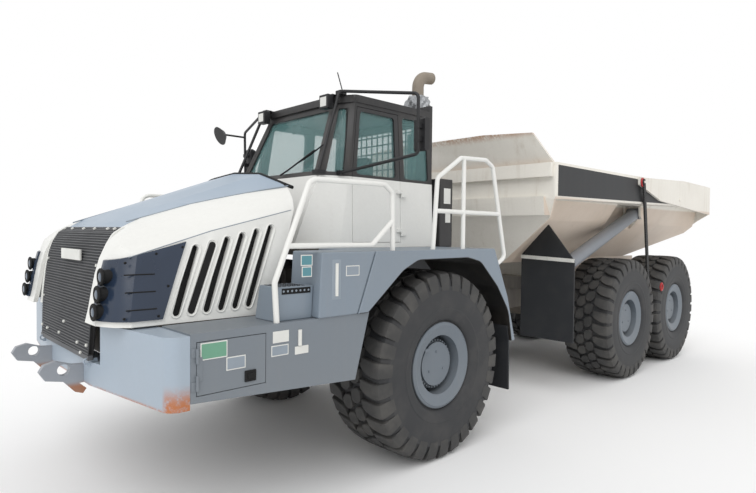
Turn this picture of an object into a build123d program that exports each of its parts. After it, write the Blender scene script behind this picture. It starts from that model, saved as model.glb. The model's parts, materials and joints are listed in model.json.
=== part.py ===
from build123d import *
import math
import os

# Articulated dump truck: a front tractor with cab and tilting hood, a steering and rolling hitch,
# and a rear frame on two driven axles that carries a tipping body with an overhead tailgate.
# Millimetres. +X forward, +Y left, +Z up. The origin is on the ground, at the middle of the
# truck's length and width.

os.makedirs("parts", exist_ok=True)

# Stance, from the tow ears to the back of the tailgate
overall_length = 11250.0
front_overhang = 3200.0
front_to_mid_axle = 4580.0
bogie_spacing = 1940.0
pivot_behind_axle = 1850.0
x_front = overall_length / 2 - front_overhang
x_mid = x_front - front_to_mid_axle
x_rear = x_mid - bogie_spacing
x_pivot = x_front - pivot_behind_axle
x_tail = -overall_length / 2

# Wheels
tyre_radius = 925.0
tyre_width = 720.0
wheel_track = 2580.0
lug_depth = 48.0
lug_count = 22
lug_share = 0.62
bead_radius = 340.0
flange_radius = 420.0
rim_opening_radius = 290.0
hub_cap_radius = 215.0
hub_cap_inset = 85.0
spindle_radius = 110.0
running_gap = 0.3
y_wheel = wheel_track / 2
y_tyre_outer = y_wheel + tyre_width / 2
y_tyre_inner = y_wheel - tyre_width / 2
axle_height = tyre_radius

# Plate thicknesses and fits
plate = 12.0
wall = 40.0
cab_wall = 50.0
glass_thickness = 8.0
seat_gap = 0.3
joint_gap = 6.0
door_gap = 5.0
rail_radius = 22.0

# Half widths that several pieces share
y_deck_edge = y_tyre_outer + 30.0
y_rail = y_tyre_outer - 30.0
y_box = y_tyre_outer + 4.0
y_box_inner = 1210.0
y_fender_inner = y_tyre_inner - 50.0

# Levels above the ground
z_deck = 2060.0
z_box_top = 1545.0
z_box_bottom = 1000.0
z_frame_top = 1450.0
z_frame_bottom = 1120.0


def ahead(distance):
    """Station of a point of the tractor, measured forward from the front axle."""
    return x_front + distance


def behind(distance):
    """Station of a point of the rear unit, measured forward from the middle axle."""
    return x_mid + distance


def outline_solid(points, push):
    """Straight prism over a closed outline of points in space."""
    face = Face(Wire.make_polygon([Vector(*point) for point in points], close=True))
    return Solid.extrude(face, Vector(*push))


def rounded_solid(points, radii, push):
    """Straight prism over a closed outline of points in space, each corner rounded by its own radius."""
    outline = FilletPolyline(*[Vector(*point) for point in points], radius=radii, close=True)
    return Solid.extrude(Face(Wire(outline.edges())), Vector(*push))


def side_plate(outline, y_low, y_high):
    """Prism over an (x, z) outline, from y_low to y_high."""
    return outline_solid([(x, y_low, z) for x, z in outline], (0, y_high - y_low, 0))


def plan_plate(outline, z_low, z_high):
    """Prism over an (x, y) outline, from z_low to z_high."""
    return outline_solid([(x, y, z_low) for x, y in outline], (0, 0, z_high - z_low))


def cross_plate(outline, x_low, x_high):
    """Prism over a (y, z) outline, from x_low to x_high."""
    return outline_solid([(x_low, y, z) for y, z in outline], (x_high - x_low, 0, 0))


def block(x_low, x_high, y_low, y_high, z_low, z_high):
    """Box between two corners."""
    corners = [(x_low, z_low), (x_high, z_low), (x_high, z_high), (x_low, z_high)]
    return side_plate(corners, y_low, y_high)


def rod(start, end, radius):
    """Round bar between two points."""
    first = Vector(*start)
    along = Vector(*end) - first
    return Solid.make_cylinder(radius, along.length, Plane(origin=first, z_dir=along))


def cross_rod(x, z, radius, y_low, y_high):
    """Round bar across the truck, from y_low to y_high."""
    return rod((x, y_low, z), (x, y_high, z), radius)


def tube(points, radius, bend):
    """Round tube bent along a line of points."""
    path = FilletPolyline(*[Vector(*point) for point in points], radius=bend)
    section = Plane(origin=path @ 0, z_dir=path % 0) * Circle(radius)
    return sweep(section, path=path).solid()


def fuse(*shapes):
    """One shape from touching or crossing shapes."""
    return shapes[0].fuse(*shapes[1:])


def trim(shape, *tools):
    """A shape less its tools."""
    return shape.cut(*tools)


def both_sides(*shapes):
    """Shapes of the left side and their mirror images."""
    return [*shapes, *[shape.mirror(Plane.XZ) for shape in shapes]]


def mirrored_outline(points):
    """Closed half outline of (y, z) or (x, y) points, completed across the middle."""
    return points + [(-y, z) for y, z in reversed(points)]


def save(name, *shapes):
    """Write the solids of one named piece."""
    solids = [solid for shape in shapes for solid in shape.solids()]
    export_step(Compound(children=solids), f"parts/{name}.step")


# Wheels: a bias tyre with shoulder lugs, a one-piece rim and the planetary hub cap
def lug_ring(y_low, y_high, phase):
    """Band of lugs: a ring whose outline steps between the lug tips and the groove floor."""
    pitch = 2 * math.pi / lug_count
    tip = pitch * lug_share
    points = []
    for lug in range(lug_count):
        start = (lug + phase) * pitch
        for radius, turn in ((tyre_radius, 0.0), (tyre_radius, tip), (tyre_radius - lug_depth, tip + pitch * 0.06),
                             (tyre_radius - lug_depth, pitch * 0.94)):
            points.append((radius * math.sin(start + turn), radius * math.cos(start + turn)))
    return side_plate(points, y_low, y_high)


def tyre():
    """Tyre about the Y axis at the origin, out to the lugs' tips."""
    half = tyre_width / 2
    floor_radius = tyre_radius - lug_depth
    # radius, distance from the tyre's middle
    section = [
        (bead_radius + seat_gap, half - 70),
        (flange_radius + 12, half - 62),
        (flange_radius + 60, half - 18),
        (0.70 * tyre_radius, half),
        (0.82 * tyre_radius, half - 6),
        (floor_radius - 18, half - 26),
        (floor_radius, half - 60),
    ]
    outline = section + [(radius, -offset) for radius, offset in reversed(section)]
    face = Face(Wire.make_polygon([Vector(radius, offset, 0) for radius, offset in outline], close=True))
    carcass = Solid.revolve(face, 360, Axis.Y)
    band = 0.29 * tyre_width
    shoulder = half - 14
    lugs = [
        lug_ring(shoulder - band, shoulder, 0.0),
        lug_ring(-shoulder, band - shoulder, 0.0),
        lug_ring(band - shoulder, shoulder - band, 0.5),
    ]
    inner = Solid.make_cylinder(floor_radius - 30, tyre_width, Plane(origin=(0, -half, 0), z_dir=(0, 1, 0)))
    lugs = [trim(ring, inner) for ring in lugs]
    return fuse(carcass, *lugs)


def rim():
    """Rim of a left wheel about the Y axis at the origin, with its disc and hub cap."""
    half = tyre_width / 2
    flange_face = half - 30
    cap = flange_face - hub_cap_inset
    # radius, distance outward from the wheel's middle
    section = [
        (spindle_radius + running_gap, -60),
        (hub_cap_radius + 40, -60),
        (hub_cap_radius + 40, 20),
        (rim_opening_radius, 40),
        (bead_radius - 34, -20),
        (bead_radius - 34, 70 - half),
        (rim_opening_radius + 26, 34 - half),
        (flange_radius - 4, 34 - half),
        (flange_radius, 60 - half),
        (bead_radius, 66 - half),
        (bead_radius, half - 66),
        (flange_radius, half - 60),
        (flange_radius, half - 44),
        (flange_radius - 26, flange_face),
        (rim_opening_radius, flange_face - 34),
        (rim_opening_radius, 90),
        (hub_cap_radius + 14, 60),
        (hub_cap_radius + 14, cap - 34),
        (hub_cap_radius, cap - 26),
        (hub_cap_radius, cap),
        (0, cap),
        (0, 130),
        (spindle_radius + running_gap, 130),
    ]
    face = Face(Wire.make_polygon([Vector(radius, offset, 0) for radius, offset in section], close=True))
    return Solid.revolve(face, 360, Axis.Y)


def axle(x, beam_gap):
    """Drive axle: tube, differential bowl, hub flanges and spindles."""
    tube_radius = 150.0
    centre = Vector(x, 0, axle_height)
    beam = cross_rod(x, axle_height, tube_radius, -y_wheel + 140, y_wheel - 140)
    bowl = Solid.make_cone(210, 290, 90, Plane(origin=centre + Vector(0, -150, 0), z_dir=(0, 1, 0)))
    drum = cross_rod(x, axle_height, 290, -60, 60)
    bowl_far = Solid.make_cone(290, 210, 90, Plane(origin=centre + Vector(0, 60, 0), z_dir=(0, 1, 0)))
    nose = rod((x, 0, axle_height), (x + beam_gap, 0, axle_height + 30), 130)
    ends = []
    for side in (-1, 1):
        ends.append(cross_rod(x, axle_height, 240, side * (y_wheel - 150), side * (y_wheel - 60 - running_gap)))
        ends.append(cross_rod(x, axle_height, spindle_radius, side * (y_wheel - 160), side * (y_wheel + 129)))
    return fuse(beam, bowl, drum, bowl_far, nose, *ends)


tyre_shape = tyre()
rim_shape = rim()
for axle_name, axle_x in (("front", x_front), ("mid", x_mid), ("rear", x_rear)):
    for side_name, side in (("left", 1), ("right", -1)):
        place = Location((axle_x, side * y_wheel, axle_height))
        rim_side = rim_shape if side == 1 else rim_shape.mirror(Plane.XZ)
        save(f"tyre_{axle_name}_{side_name}", tyre_shape.moved(place))
        save(f"rim_{axle_name}_{side_name}", rim_side.moved(place))

# Tractor frame: two rails, cross members, the pivot's upper and lower tongues, axle struts
frame_inner = 360.0
frame_outer = 460.0
tongue_half = 190.0
pivot_pin_radius = 70.0
hitch_low = 1150.0
hitch_high = 1350.0
tongue_plate = 60.0
tail_half = 330.0
frame_front = 2740.0
x_frame_front = ahead(frame_front)
x_frame_taper = ahead(-780)
x_frame_rear = ahead(-1250)
steer_anchor_ahead = 1250.0
steer_anchor_y = 620.0
steer_anchor_half = 90.0
steer_anchor_plate = 28.0
steer_height = (hitch_low + hitch_high) / 2
steer_pin_radius = 30.0
strut_y = 560.0
strut_ahead = 330.0
strut_seat = axle_height + 10
steer_tube_radius = 62.0
steer_rod_radius = 34.0
x_steer_anchor = x_pivot + steer_anchor_ahead


def front_frame():
    """Tractor chassis as one welded piece."""
    rail_plan = [(x_frame_front, frame_inner), (x_frame_front, frame_outer), (x_frame_taper, frame_outer),
                 (x_frame_rear, tail_half), (x_frame_rear, tail_half - 100), (x_frame_taper, frame_inner)]
    rails = both_sides(plan_plate(rail_plan, z_frame_bottom, z_frame_top))
    members = [
        block(ahead(offset), ahead(offset) + 120, -frame_inner, frame_inner, low, high)
        # place ahead of the axle, lower and upper level
        for offset, low, high in ((2500, 1150, 1400), (620, 1130, 1260), (-760, 1330, 1440))
    ]
    closing = block(x_frame_rear, x_frame_rear + 110, -tail_half, tail_half, 960, 1560)
    tongues = []
    for low in (hitch_low - joint_gap - tongue_plate, hitch_high + joint_gap):
        nose = Solid.make_cylinder(tongue_half, tongue_plate, Plane(origin=(x_pivot, 0, low)))
        arm = block(x_pivot, x_frame_rear + 20, -tongue_half, tongue_half, low, low + tongue_plate)
        tongues += [nose, arm]
    pin = rod((x_pivot, 0, hitch_low - joint_gap - 90), (x_pivot, 0, hitch_high + joint_gap + 90), pivot_pin_radius)
    low, high = steer_height - steer_anchor_half, steer_height + steer_anchor_half
    x_strut = ahead(strut_ahead)
    fittings = [
        block(x_steer_anchor - 60, x_steer_anchor + 90, frame_outer, 690, low, low + steer_anchor_plate),
        block(x_steer_anchor - 60, x_steer_anchor + 90, frame_outer, 690, high - steer_anchor_plate, high),
        rod((x_steer_anchor, steer_anchor_y, low), (x_steer_anchor, steer_anchor_y, high), steer_pin_radius),
        rod((x_strut, strut_y, strut_seat), (x_strut, strut_y, 1700), 62),
        block(x_strut - 80, x_strut + 80, frame_outer, strut_y + 80, 1700, 1760),
        block(x_strut - 80, x_strut + 80, frame_outer, frame_outer + 40, z_frame_top - 60, 1760),
    ]
    return fuse(*rails, *members, closing, *tongues, pin, *both_sides(*fittings))


def front_axle():
    """Front axle with the leading arms that its struts stand on."""
    outline = [(ahead(-120), axle_height - 90), (ahead(-120), axle_height + 60), (ahead(200), strut_seat),
               (ahead(420), strut_seat), (ahead(420), axle_height - 60), (ahead(200), axle_height - 90)]
    arm = side_plate(outline, strut_y - 70, strut_y + 70)
    return fuse(axle(x_front, 330), *both_sides(arm))


save("front_frame", front_frame())
save("front_axle", front_axle())
save("engine_block", block(ahead(1210), ahead(2400), -frame_outer + 40, frame_outer - 40, z_frame_top, 2050))

# Bumper with swept wings and its centre notch under the grille
bumper_tip = 2750.0
bumper_corner = 100.0
bumper_nose = 2900.0
bumper_rear = 2610.0
z_bumper_low = 1050.0
z_bumper_top = 1534.0
grille_half = 740.0
grille_foot = 1250.0
hood_hinge_x = ahead(2925)
hood_hinge_z = 1240.0
hood_hinge_y = 620.0
hood_pin_radius = 14.0


def bumper():
    """One hollow-backed beam, its wings swept back, with two ears for the hood's hinge."""
    # distance ahead of the front axle, half width, corner radius
    plan = [(bumper_nose, 0, 0), (bumper_nose, 600, 60), (bumper_tip, y_box, bumper_corner), (bumper_rear, y_box, 0),
            (bumper_rear, frame_outer + 60, 0), (frame_front, frame_outer + 60, 0), (frame_front, 0, 0)]
    left = rounded_solid([(ahead(x), y, z_bumper_low) for x, y, _ in plan], [radius for _, _, radius in plan],
                         (0, 0, z_bumper_top - z_bumper_low))
    beam = fuse(*both_sides(left))
    notch = block(ahead(2600), ahead(3000), -grille_half - 20, grille_half + 20, grille_foot - 20, z_bumper_top + 10)
    ear = fuse(block(ahead(2850), hood_hinge_x, hood_hinge_y - 8, hood_hinge_y + 8, 1205, hood_hinge_z + 20),
               cross_rod(hood_hinge_x, hood_hinge_z, 26, hood_hinge_y - 8, hood_hinge_y + 8))
    bore = cross_rod(hood_hinge_x, hood_hinge_z, hood_pin_radius + running_gap, -700, 700)
    return trim(fuse(trim(beam, notch), *both_sides(ear)), bore)


tow_ear_y = 440.0
tow_ear_half = 26.0
tow_hole_ahead = 3040.0
tow_hole_height = 1165.0
tow_hole_radius = 42.0


def tow_hooks():
    """Two ear plates with a shackle hole and a hooked heel."""
    ear = [(bumper_nose, 1190), (2975, 1195), (3090, 1235), (3170, 1215), (front_overhang, 1165), (3160, 1100),
           (3040, 1075), (2960, 985), (2905, 965), (2880, 1000), (2930, 1048), (bumper_nose, 1049)]
    plate_left = side_plate([(ahead(x), z) for x, z in ear], tow_ear_y - tow_ear_half, tow_ear_y + tow_ear_half)
    hole = cross_rod(ahead(tow_hole_ahead), tow_hole_height, tow_hole_radius, 300, 600)
    return both_sides(trim(plate_left, hole))


save("bumper", bumper())
save("tow_hooks", *tow_hooks())

# Side boxes behind the bumper, hollow, the left one with a hinged door
box_front = bumper_rear
box_rear_top = 1030.0
box_rear_low = 1180.0
box_door_rear = 2040.0
box_door_low = 1130.0
box_door_top = 1490.0
box_hinge_x = ahead(box_front - wall - door_gap / 2)
box_hinge_y = y_box + 11.0
box_hinge_radius = 10.0


def knuckles(x, y, radius, levels, height):
    """Upright hinge barrels at several levels."""
    return [rod((x, y, z), (x, y, z + height), radius) for z in levels]


def side_box(open_side):
    """Left-hand box: open compartment behind the door, closed tank behind that."""
    shell = side_plate([(ahead(box_front), z_box_bottom + 90), (ahead(box_front), z_box_top),
                        (ahead(box_rear_top), z_box_top), (ahead(box_rear_low), z_box_bottom)], y_box_inner, y_box)
    cavity = block(ahead(box_door_rear - 40), ahead(box_front - wall), y_box_inner + wall, y_box - plate,
                   z_box_bottom + 130, z_box_top - wall)
    doorway = block(ahead(box_door_rear), ahead(box_front - wall), y_box - 3 * plate, y_box + 10, box_door_low,
                    box_door_top)
    if not open_side:
        return trim(shell, cavity)
    leaf = block(ahead(box_front - wall), ahead(box_front - 5), y_box - 1, y_box + 5, 1170, 1450)
    gaps = block(box_hinge_x - 20, ahead(box_front - 5), y_box - 0.001, y_box + 30, 1230, 1390)
    barrels = knuckles(box_hinge_x, box_hinge_y, box_hinge_radius, (1170, 1390), 60)
    return fuse(trim(shell, cavity, doorway), trim(leaf, gaps), *barrels)


box_door = fuse(block(ahead(box_door_rear + door_gap), ahead(box_front - wall - door_gap), y_box - plate, y_box,
                      box_door_low + door_gap, box_door_top - door_gap),
                block(box_hinge_x - 40, box_hinge_x, y_box - 1, y_box + 5, 1230 + seat_gap, 1390 - seat_gap),
                *knuckles(box_hinge_x, box_hinge_y, box_hinge_radius, (1230 + seat_gap, 1350 - seat_gap), 40))
save("side_boxes", side_box(True), side_box(False).mirror(Plane.XZ))
save("box_door", box_door)

# Fenders over the front wheels, tanks ahead of them, steps, flaps and the deck under the cab
# distance ahead of the front axle, level, corner radius
fender_outline = [(1170, 1546, 0), (970, z_deck, 0), (-770, z_deck, 40), (-1030, 1530, 120), (-1190, 1030, 0),
                  (-1120, 1030, 0), (-1045, 1370, 300), (-830, 1650, 300), (-520, 1925, 200), (-300, 1972, 200),
                  (440, 1968, 200), (640, 1880, 300), (1060, 1546, 0)]
tank_front_low = 1580.0
tank_front_top = 1550.0
step_front = 1930.0
step_rise = 255.0
step_height = z_box_top + step_rise
flap_low = 480.0


def fender():
    """Left fender: an arch closed at its outer side, with a deep skirt on the wheel's inner side."""
    return rounded_solid([(ahead(x), y_fender_inner, z) for x, z, _ in fender_outline],
                         [radius for _, _, radius in fender_outline], (0, y_deck_edge - y_fender_inner, 0))


def tank():
    """Left tank beside the hood, its rear face along the fender's front edge."""
    outline = [(ahead(tank_front_low), z_box_top), (ahead(tank_front_top), z_deck), (ahead(970 + 4), z_deck),
               (ahead(1170 + 4), z_box_top)]
    return side_plate(outline, 1275, y_deck_edge - 8)


def step():
    """Left step between the side box and the tank's top."""
    return side_plate([(ahead(tank_front_low) + 2, z_box_top), (ahead(step_front), z_box_top),
                       (ahead(step_front) - 40, step_height), (ahead(tank_front_low) - 10, step_height)],
                      1320, y_rail - rail_radius - 10)


def deck():
    """Platform under the cab on four brackets that stand on the rails."""
    top = block(ahead(-1050), ahead(1195), -y_fender_inner, y_fender_inner, z_deck - 60, z_deck)
    feet = [block(ahead(x), ahead(x) + 140, side * 410 - 50, side * 410 + 50, z_frame_top, z_deck - 60)
            for x in (-760, 560) for side in (-1, 1)]
    return fuse(top, *feet)


def front_flap():
    """Left flap hung behind the front wheel."""
    return side_plate([(ahead(-1124), 1030), (ahead(-1090), 1200), (ahead(-1066), 1200), (ahead(-1100), 1030),
                       (ahead(-1110), flap_low), (ahead(-1134), flap_low)], y_tyre_inner + 10, y_tyre_outer)


save("fenders", *both_sides(fender()))
save("tanks", *both_sides(tank()))
save("steps", *both_sides(step()))
save("deck", deck())
save("front_flaps", *both_sides(trim(front_flap(), fender())))

# Cab: a white lower tub, a dark upper frame with the roof, glass, door, seat and console
cab_rear = -700.0
cab_sill = 2775.0
cab_eave = 3540.0
roof_depth = 75.0
cab_roof = cab_eave + roof_depth
window_height = cab_eave - cab_sill
door_rear = -170.0
window_corner = 0.05 * window_height
# distance ahead of the front axle, half width
tub_foot = [(1150, 720), (700, 870), (cab_rear, 870)]
tub_top = [(860, 735), (570, 850), (cab_rear, 850)]
frame_top_plan = [(540, 610), (450, 800), (cab_rear, 800)]


def inset(plan, depth):
    """Half plan moved inward by a depth at its front, corner, side and rear."""
    (x_nose, y_nose), (x_corner, y_side), (x_back, _) = plan
    return [(x_nose - depth, y_nose - 0.6 * depth), (x_corner - 0.2 * depth, y_side - depth),
            (x_back + depth, y_side - depth)]


def plan_wire(plan, z):
    """Closed wire of a half plan and its mirror image at one level."""
    half = [Vector(ahead(x), y, z) for x, y in plan]
    other = [Vector(ahead(x), -y, z) for x, y in reversed(plan)]
    return Wire.make_polygon(half + other, close=True)


def tapered(low_plan, high_plan, z_low, z_high, depth, below=0.0, above=0.0):
    """Solid between two plans, moved inward by a depth and carried on below and above them."""
    rise = z_high - z_low

    def plan_at(share):
        return [(x_low + share * (x_high - x_low), y_low + share * (y_high - y_low))
                for (x_low, y_low), (x_high, y_high) in zip(inset(low_plan, depth), inset(high_plan, depth))]

    return Solid.make_loft([plan_wire(plan_at(-below / rise), z_low - below),
                            plan_wire(plan_at(1 + above / rise), z_high + above)], ruled=True)


def cab_window(outline, y_low, y_high):
    """Cutter through the cab's side over an (ahead, z) outline."""
    return side_plate([(ahead(x), z) for x, z in outline], y_low, y_high)


def rounded_window(outline, y_low, y_high):
    """Window cutter with rounded corners."""
    return rounded_solid([(ahead(x), y_low, z) for x, z in outline], window_corner, (0, y_high - y_low, 0))


def pane_level(share):
    """Level at a share of the height between the sill and the eave."""
    return cab_sill + share * window_height


door_foot = z_deck + 50
door_head = pane_level(0.95)
door_outline = [(door_rear, door_foot), (530, door_foot), (530, cab_sill), (430, door_head), (door_rear, door_head)]
door_leaf = [(door_rear + door_gap, door_foot + door_gap), (530 - door_gap, door_foot + door_gap),
             (530 - door_gap, cab_sill), (430 - door_gap, door_head - door_gap),
             (door_rear + door_gap, door_head - door_gap)]
door_window = [(door_rear + 65, pane_level(0.04)), (470, pane_level(0.04)), (385, pane_level(0.89)),
               (door_rear + 65, pane_level(0.89))]
quarter_front = [(615, pane_level(0.05)), (785, pane_level(0.05)), (545, pane_level(0.92)), (495, pane_level(0.92))]
quarter_rear = [(-636, pane_level(0.04)), (-235, pane_level(0.04)), (-235, pane_level(0.92)),
                (-636, pane_level(0.92))]
side_window = [(-105, pane_level(0.04)), (470, pane_level(0.04)), (385, pane_level(0.89)), (-105, pane_level(0.89))]
# half width, level
screen_outline = [(-640, pane_level(0.06)), (640, pane_level(0.06)), (530, pane_level(0.91)),
                  (-530, pane_level(0.91))]
rear_outline = [(-640, pane_level(0.06)), (640, pane_level(0.06)), (640, pane_level(0.89)), (-640, pane_level(0.89))]


def window_cutters():
    """Prisms through every window opening but the door's."""
    left = [cab_window(quarter_front, 600, 1000), rounded_window(quarter_rear, 700, 1000)]
    right = [cab_window(quarter_front, -1000, -600), rounded_window(quarter_rear, -1000, -700),
             rounded_window(side_window, -1000, -650)]
    front = rounded_solid([(ahead(400), y, z) for y, z in screen_outline], window_corner, (700, 0, 0))
    rear = rounded_solid([(ahead(cab_rear - 50), y, z) for y, z in rear_outline], window_corner, (200, 0, 0))
    return left + right + [front, rear]


tub_solid = tapered(tub_foot, tub_top, z_deck, cab_sill, 0)
frame_solid = tapered(tub_top, frame_top_plan, cab_sill, cab_eave, 0)
tub_shell = trim(tub_solid, tapered(tub_foot, tub_top, z_deck, cab_sill, cab_wall, -cab_wall, cab_wall))
frame_shell = trim(frame_solid, tapered(tub_top, frame_top_plan, cab_sill, cab_eave, cab_wall, cab_wall, cab_wall))
roof_corner = 60.0
roof_cap = rounded_solid([(ahead(x), y, cab_eave) for x, y in ((570, 600), (455, 815), (cab_rear, 815),
                                                               (cab_rear, -815), (455, -815), (570, -600))],
                         [roof_corner, roof_corner, 0, 0, roof_corner, roof_corner], (0, 0, roof_depth))
door_hinge_y = 884.0
door_hinge_radius = 12.0
door_hinge_levels = (2180, 2600)
door_leaf_height = 38.0


def door_hinge(z, reach):
    """Hinge leaf against the cab's side, reaching forward or back from its upright barrel."""
    x = ahead(door_rear)
    leaf = block(*sorted((x, x + reach)), 830, door_hinge_y, z, z + door_leaf_height)
    return trim(fuse(leaf, *knuckles(x, door_hinge_y, door_hinge_radius, (z,), door_leaf_height)), tub_solid)


door_cutter = cab_window(door_outline, 700, 1000)
leaf_cutter = cab_window(door_leaf, 700, 1000)
leaf_window = rounded_window(door_window, 700, 1000)
cab_leaves = [door_hinge(z, -70) for z in door_hinge_levels]
door_leaves = [door_hinge(z + door_leaf_height + seat_gap, 70) for z in door_hinge_levels]
cab_tub = fuse(trim(tub_shell, door_cutter), *cab_leaves)
cab_frame = fuse(trim(frame_shell, door_cutter, *window_cutters()), roof_cap)
cab_door = fuse(tub_shell.intersect(leaf_cutter).solid(),
                trim(frame_shell.intersect(leaf_cutter).solid(), leaf_window), *door_leaves)
pane_shell = trim(tapered(tub_top, frame_top_plan, cab_sill, cab_eave, 20),
                  tapered(tub_top, frame_top_plan, cab_sill, cab_eave, 20 + glass_thickness))
panes = [pane_shell.intersect(cutter) for cutter in window_cutters()]

cushion_low = 2420.0
cushion_top = 2560.0
seat_back_top = pane_level(0.5)
wheel_ahead = 330.0
wheel_height = cab_sill - 15.0
seat = fuse(block(ahead(-330), ahead(170), -250, 250, cushion_low, cushion_top),
            side_plate([(ahead(-330), cushion_top), (ahead(-200), cushion_top), (ahead(-330), seat_back_top),
                        (ahead(-430), seat_back_top)], -240, 240),
            block(ahead(-220), ahead(80), -160, 160, z_deck + cab_wall, cushion_low))
console = fuse(side_plate([(ahead(640), z_deck + cab_wall), (ahead(940), z_deck + cab_wall), (ahead(850), 2600),
                           (ahead(600), 2700), (ahead(520), 2620)], -420, 420),
               rod((ahead(600), 0, 2600), (ahead(wheel_ahead), 0, wheel_height), 28),
               Solid.make_torus(190, 16, Plane(origin=(ahead(wheel_ahead), 0, wheel_height), z_dir=(-0.82, 0, 0.57))),
               rod((ahead(wheel_ahead), -185, wheel_height), (ahead(wheel_ahead), 185, wheel_height), 12))
save("cab_tub", cab_tub)
save("cab_frame", cab_frame)
save("cab_door", cab_door)
save("cab_glass", *panes)
save("door_glass", pane_shell.intersect(leaf_window))
save("seat", seat)
save("console", console)

# Rear guard, lamps, mirrors, handrails, exhaust and cabinet round the cab
guard_half = 800.0
guard_front = cab_rear - 2.0
guard_depth = 50.0
guard_top = cab_roof + 75.0
guard_cell = 84.0
guard_pitch = 100.0
guard_columns = 14
guard_rows = 8


def rear_guard():
    """Frame over the rear window with a mesh of square cells."""
    posts = both_sides(block(ahead(guard_front - guard_depth), ahead(guard_front), guard_half - 50, guard_half, z_deck,
                             guard_top))
    beams = [block(ahead(guard_front - guard_depth), ahead(guard_front), -guard_half, guard_half, z, z + 50)
             for z in (cab_sill - 30, guard_top - 50)]
    mesh_low = cab_sill + 20
    mesh_high = guard_top - 50
    mesh = block(ahead(guard_front - 34), ahead(guard_front - 22), -guard_half + 50, guard_half - 50, mesh_low,
                 mesh_high)
    row_pitch = (mesh_high - mesh_low) / guard_rows
    cells = [block(ahead(guard_front - guard_depth), ahead(guard_front), y - guard_cell / 2, y + guard_cell / 2,
                   mesh_low + row * row_pitch + 8, mesh_low + (row + 1) * row_pitch - 8)
             for row in range(guard_rows)
             for y in [(column - (guard_columns - 1) / 2) * guard_pitch for column in range(guard_columns)]]
    return fuse(trim(mesh, *cells), *posts, *beams)


work_lamp_y = 580.0
work_lamp_size = 140.0
work_lamp_ahead = 610.0


def work_lamp():
    """Left roof lamp on its bracket."""
    half = work_lamp_size / 2
    low = cab_eave - half
    head = block(ahead(work_lamp_ahead), ahead(work_lamp_ahead + 80), work_lamp_y - half, work_lamp_y + half, low,
                 low + work_lamp_size)
    foot = block(ahead(500), ahead(work_lamp_ahead), work_lamp_y - 45, work_lamp_y + 45, cab_roof, cab_roof + 12)
    drop = block(ahead(work_lamp_ahead - 14), ahead(work_lamp_ahead), work_lamp_y - 45, work_lamp_y + 45, cab_eave - 20,
                 cab_roof + 12)
    return fuse(head, foot, drop)


mirror_post_y = 1550.0
mirror_post_ahead = 320.0
mirror_tube = 16.0
# far enough ahead that the opening door swings past the hoop's lower tube
mirror_foot_ahead = 660.0
mirror_low = cab_sill + 0.22 * (cab_roof - cab_sill)
mirror_high = cab_roof - 0.11 * (cab_roof - cab_sill)


def mirror():
    """Left mirror hoop, up the windscreen's pillar, out over the roof corner, down and back to the sill."""
    hoop = tube([(ahead(900), 775, cab_sill + 25), (ahead(566), 684, cab_roof + 34),
                 (ahead(mirror_post_ahead + 10), mirror_post_y, mirror_high),
                 (ahead(mirror_post_ahead), mirror_post_y, mirror_low), (ahead(mirror_foot_ahead), 845, cab_sill + 28)],
                mirror_tube, 50)
    roof_foot = block(ahead(500), ahead(580), 640, 720, cab_roof, cab_roof + 40)
    pillar_foot = block(ahead(820), ahead(915), 700, 790, cab_sill + 5, cab_sill + 45)
    sill_foot = block(ahead(mirror_foot_ahead - 35), ahead(mirror_foot_ahead + 30), 785, 858, cab_sill + 5,
                      cab_sill + 50)
    head_low = mirror_low + 0.05 * (mirror_high - mirror_low)
    head_high = mirror_low + 0.62 * (mirror_high - mirror_low)
    rear = mirror_post_ahead - 100
    head = side_plate([(ahead(rear), head_low + 20), (ahead(rear), head_high - 20), (ahead(rear + 50), head_high),
                       (ahead(rear + 66), head_high - 20), (ahead(rear + 66), head_low + 20),
                       (ahead(rear + 50), head_low)], mirror_post_y - 90, mirror_post_y + 50)
    clamp = [block(ahead(rear + 60), ahead(mirror_post_ahead + 22), mirror_post_y - 20, mirror_post_y + 20, z, z + 40)
             for z in (head_low + 90, head_high - 110)]
    return trim(fuse(hoop, head, roof_foot, pillar_foot, sill_foot, *clamp), frame_solid, tub_solid, roof_cap)


dish_ahead = 640.0


def blind_spot_mirror():
    """Round mirror on a stalk from the right hoop's outer post."""
    level = mirror_high - 60
    stalk = rod((ahead(mirror_post_ahead), -mirror_post_y, level), (ahead(dish_ahead + 15), -mirror_post_y, level), 12)
    dish = Solid.make_cone(60, 120, 60, Plane(origin=(ahead(dish_ahead), -mirror_post_y, level), z_dir=(0.9, 0, -0.43)))
    return fuse(dish, stalk)


# front rail: distance ahead of the front axle, level
front_rail = [(1930, z_box_top), (1950, 1840), (1640, 2600), (1580, 2625), (830, 2635), (735, 2570), (720, z_deck)]
rear_rail = [(175, z_deck), (120, 2745), (-240, 2970), (-660, 2990), (-790, 2930), (-1040, 1960), (-850, 1860)]


def handrails():
    """Left rails on the box, tank and fender, each with its cross bars."""
    front = tube([(ahead(x), y_rail, z) for x, z in front_rail], rail_radius, 60)
    low_bar = tube([(ahead(1840), y_rail, 2110), (ahead(970), y_rail, 2110), (ahead(726), y_rail, 2320)],
                   rail_radius, 60)
    rear = tube([(ahead(x), y_rail, z) for x, z in rear_rail], rail_radius, 60)
    post = rod((ahead(-290), y_rail, z_deck), (ahead(-290), y_rail, 2970), rail_radius)
    cross_bar = rod((ahead(150), y_rail, 2430), (ahead(-920), y_rail, 2430), rail_radius)
    carriers = [side_box(False), step(), tank(), fender()]
    return [trim(fuse(front, low_bar), *carriers), trim(fuse(rear, post, cross_bar), *carriers)]


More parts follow.
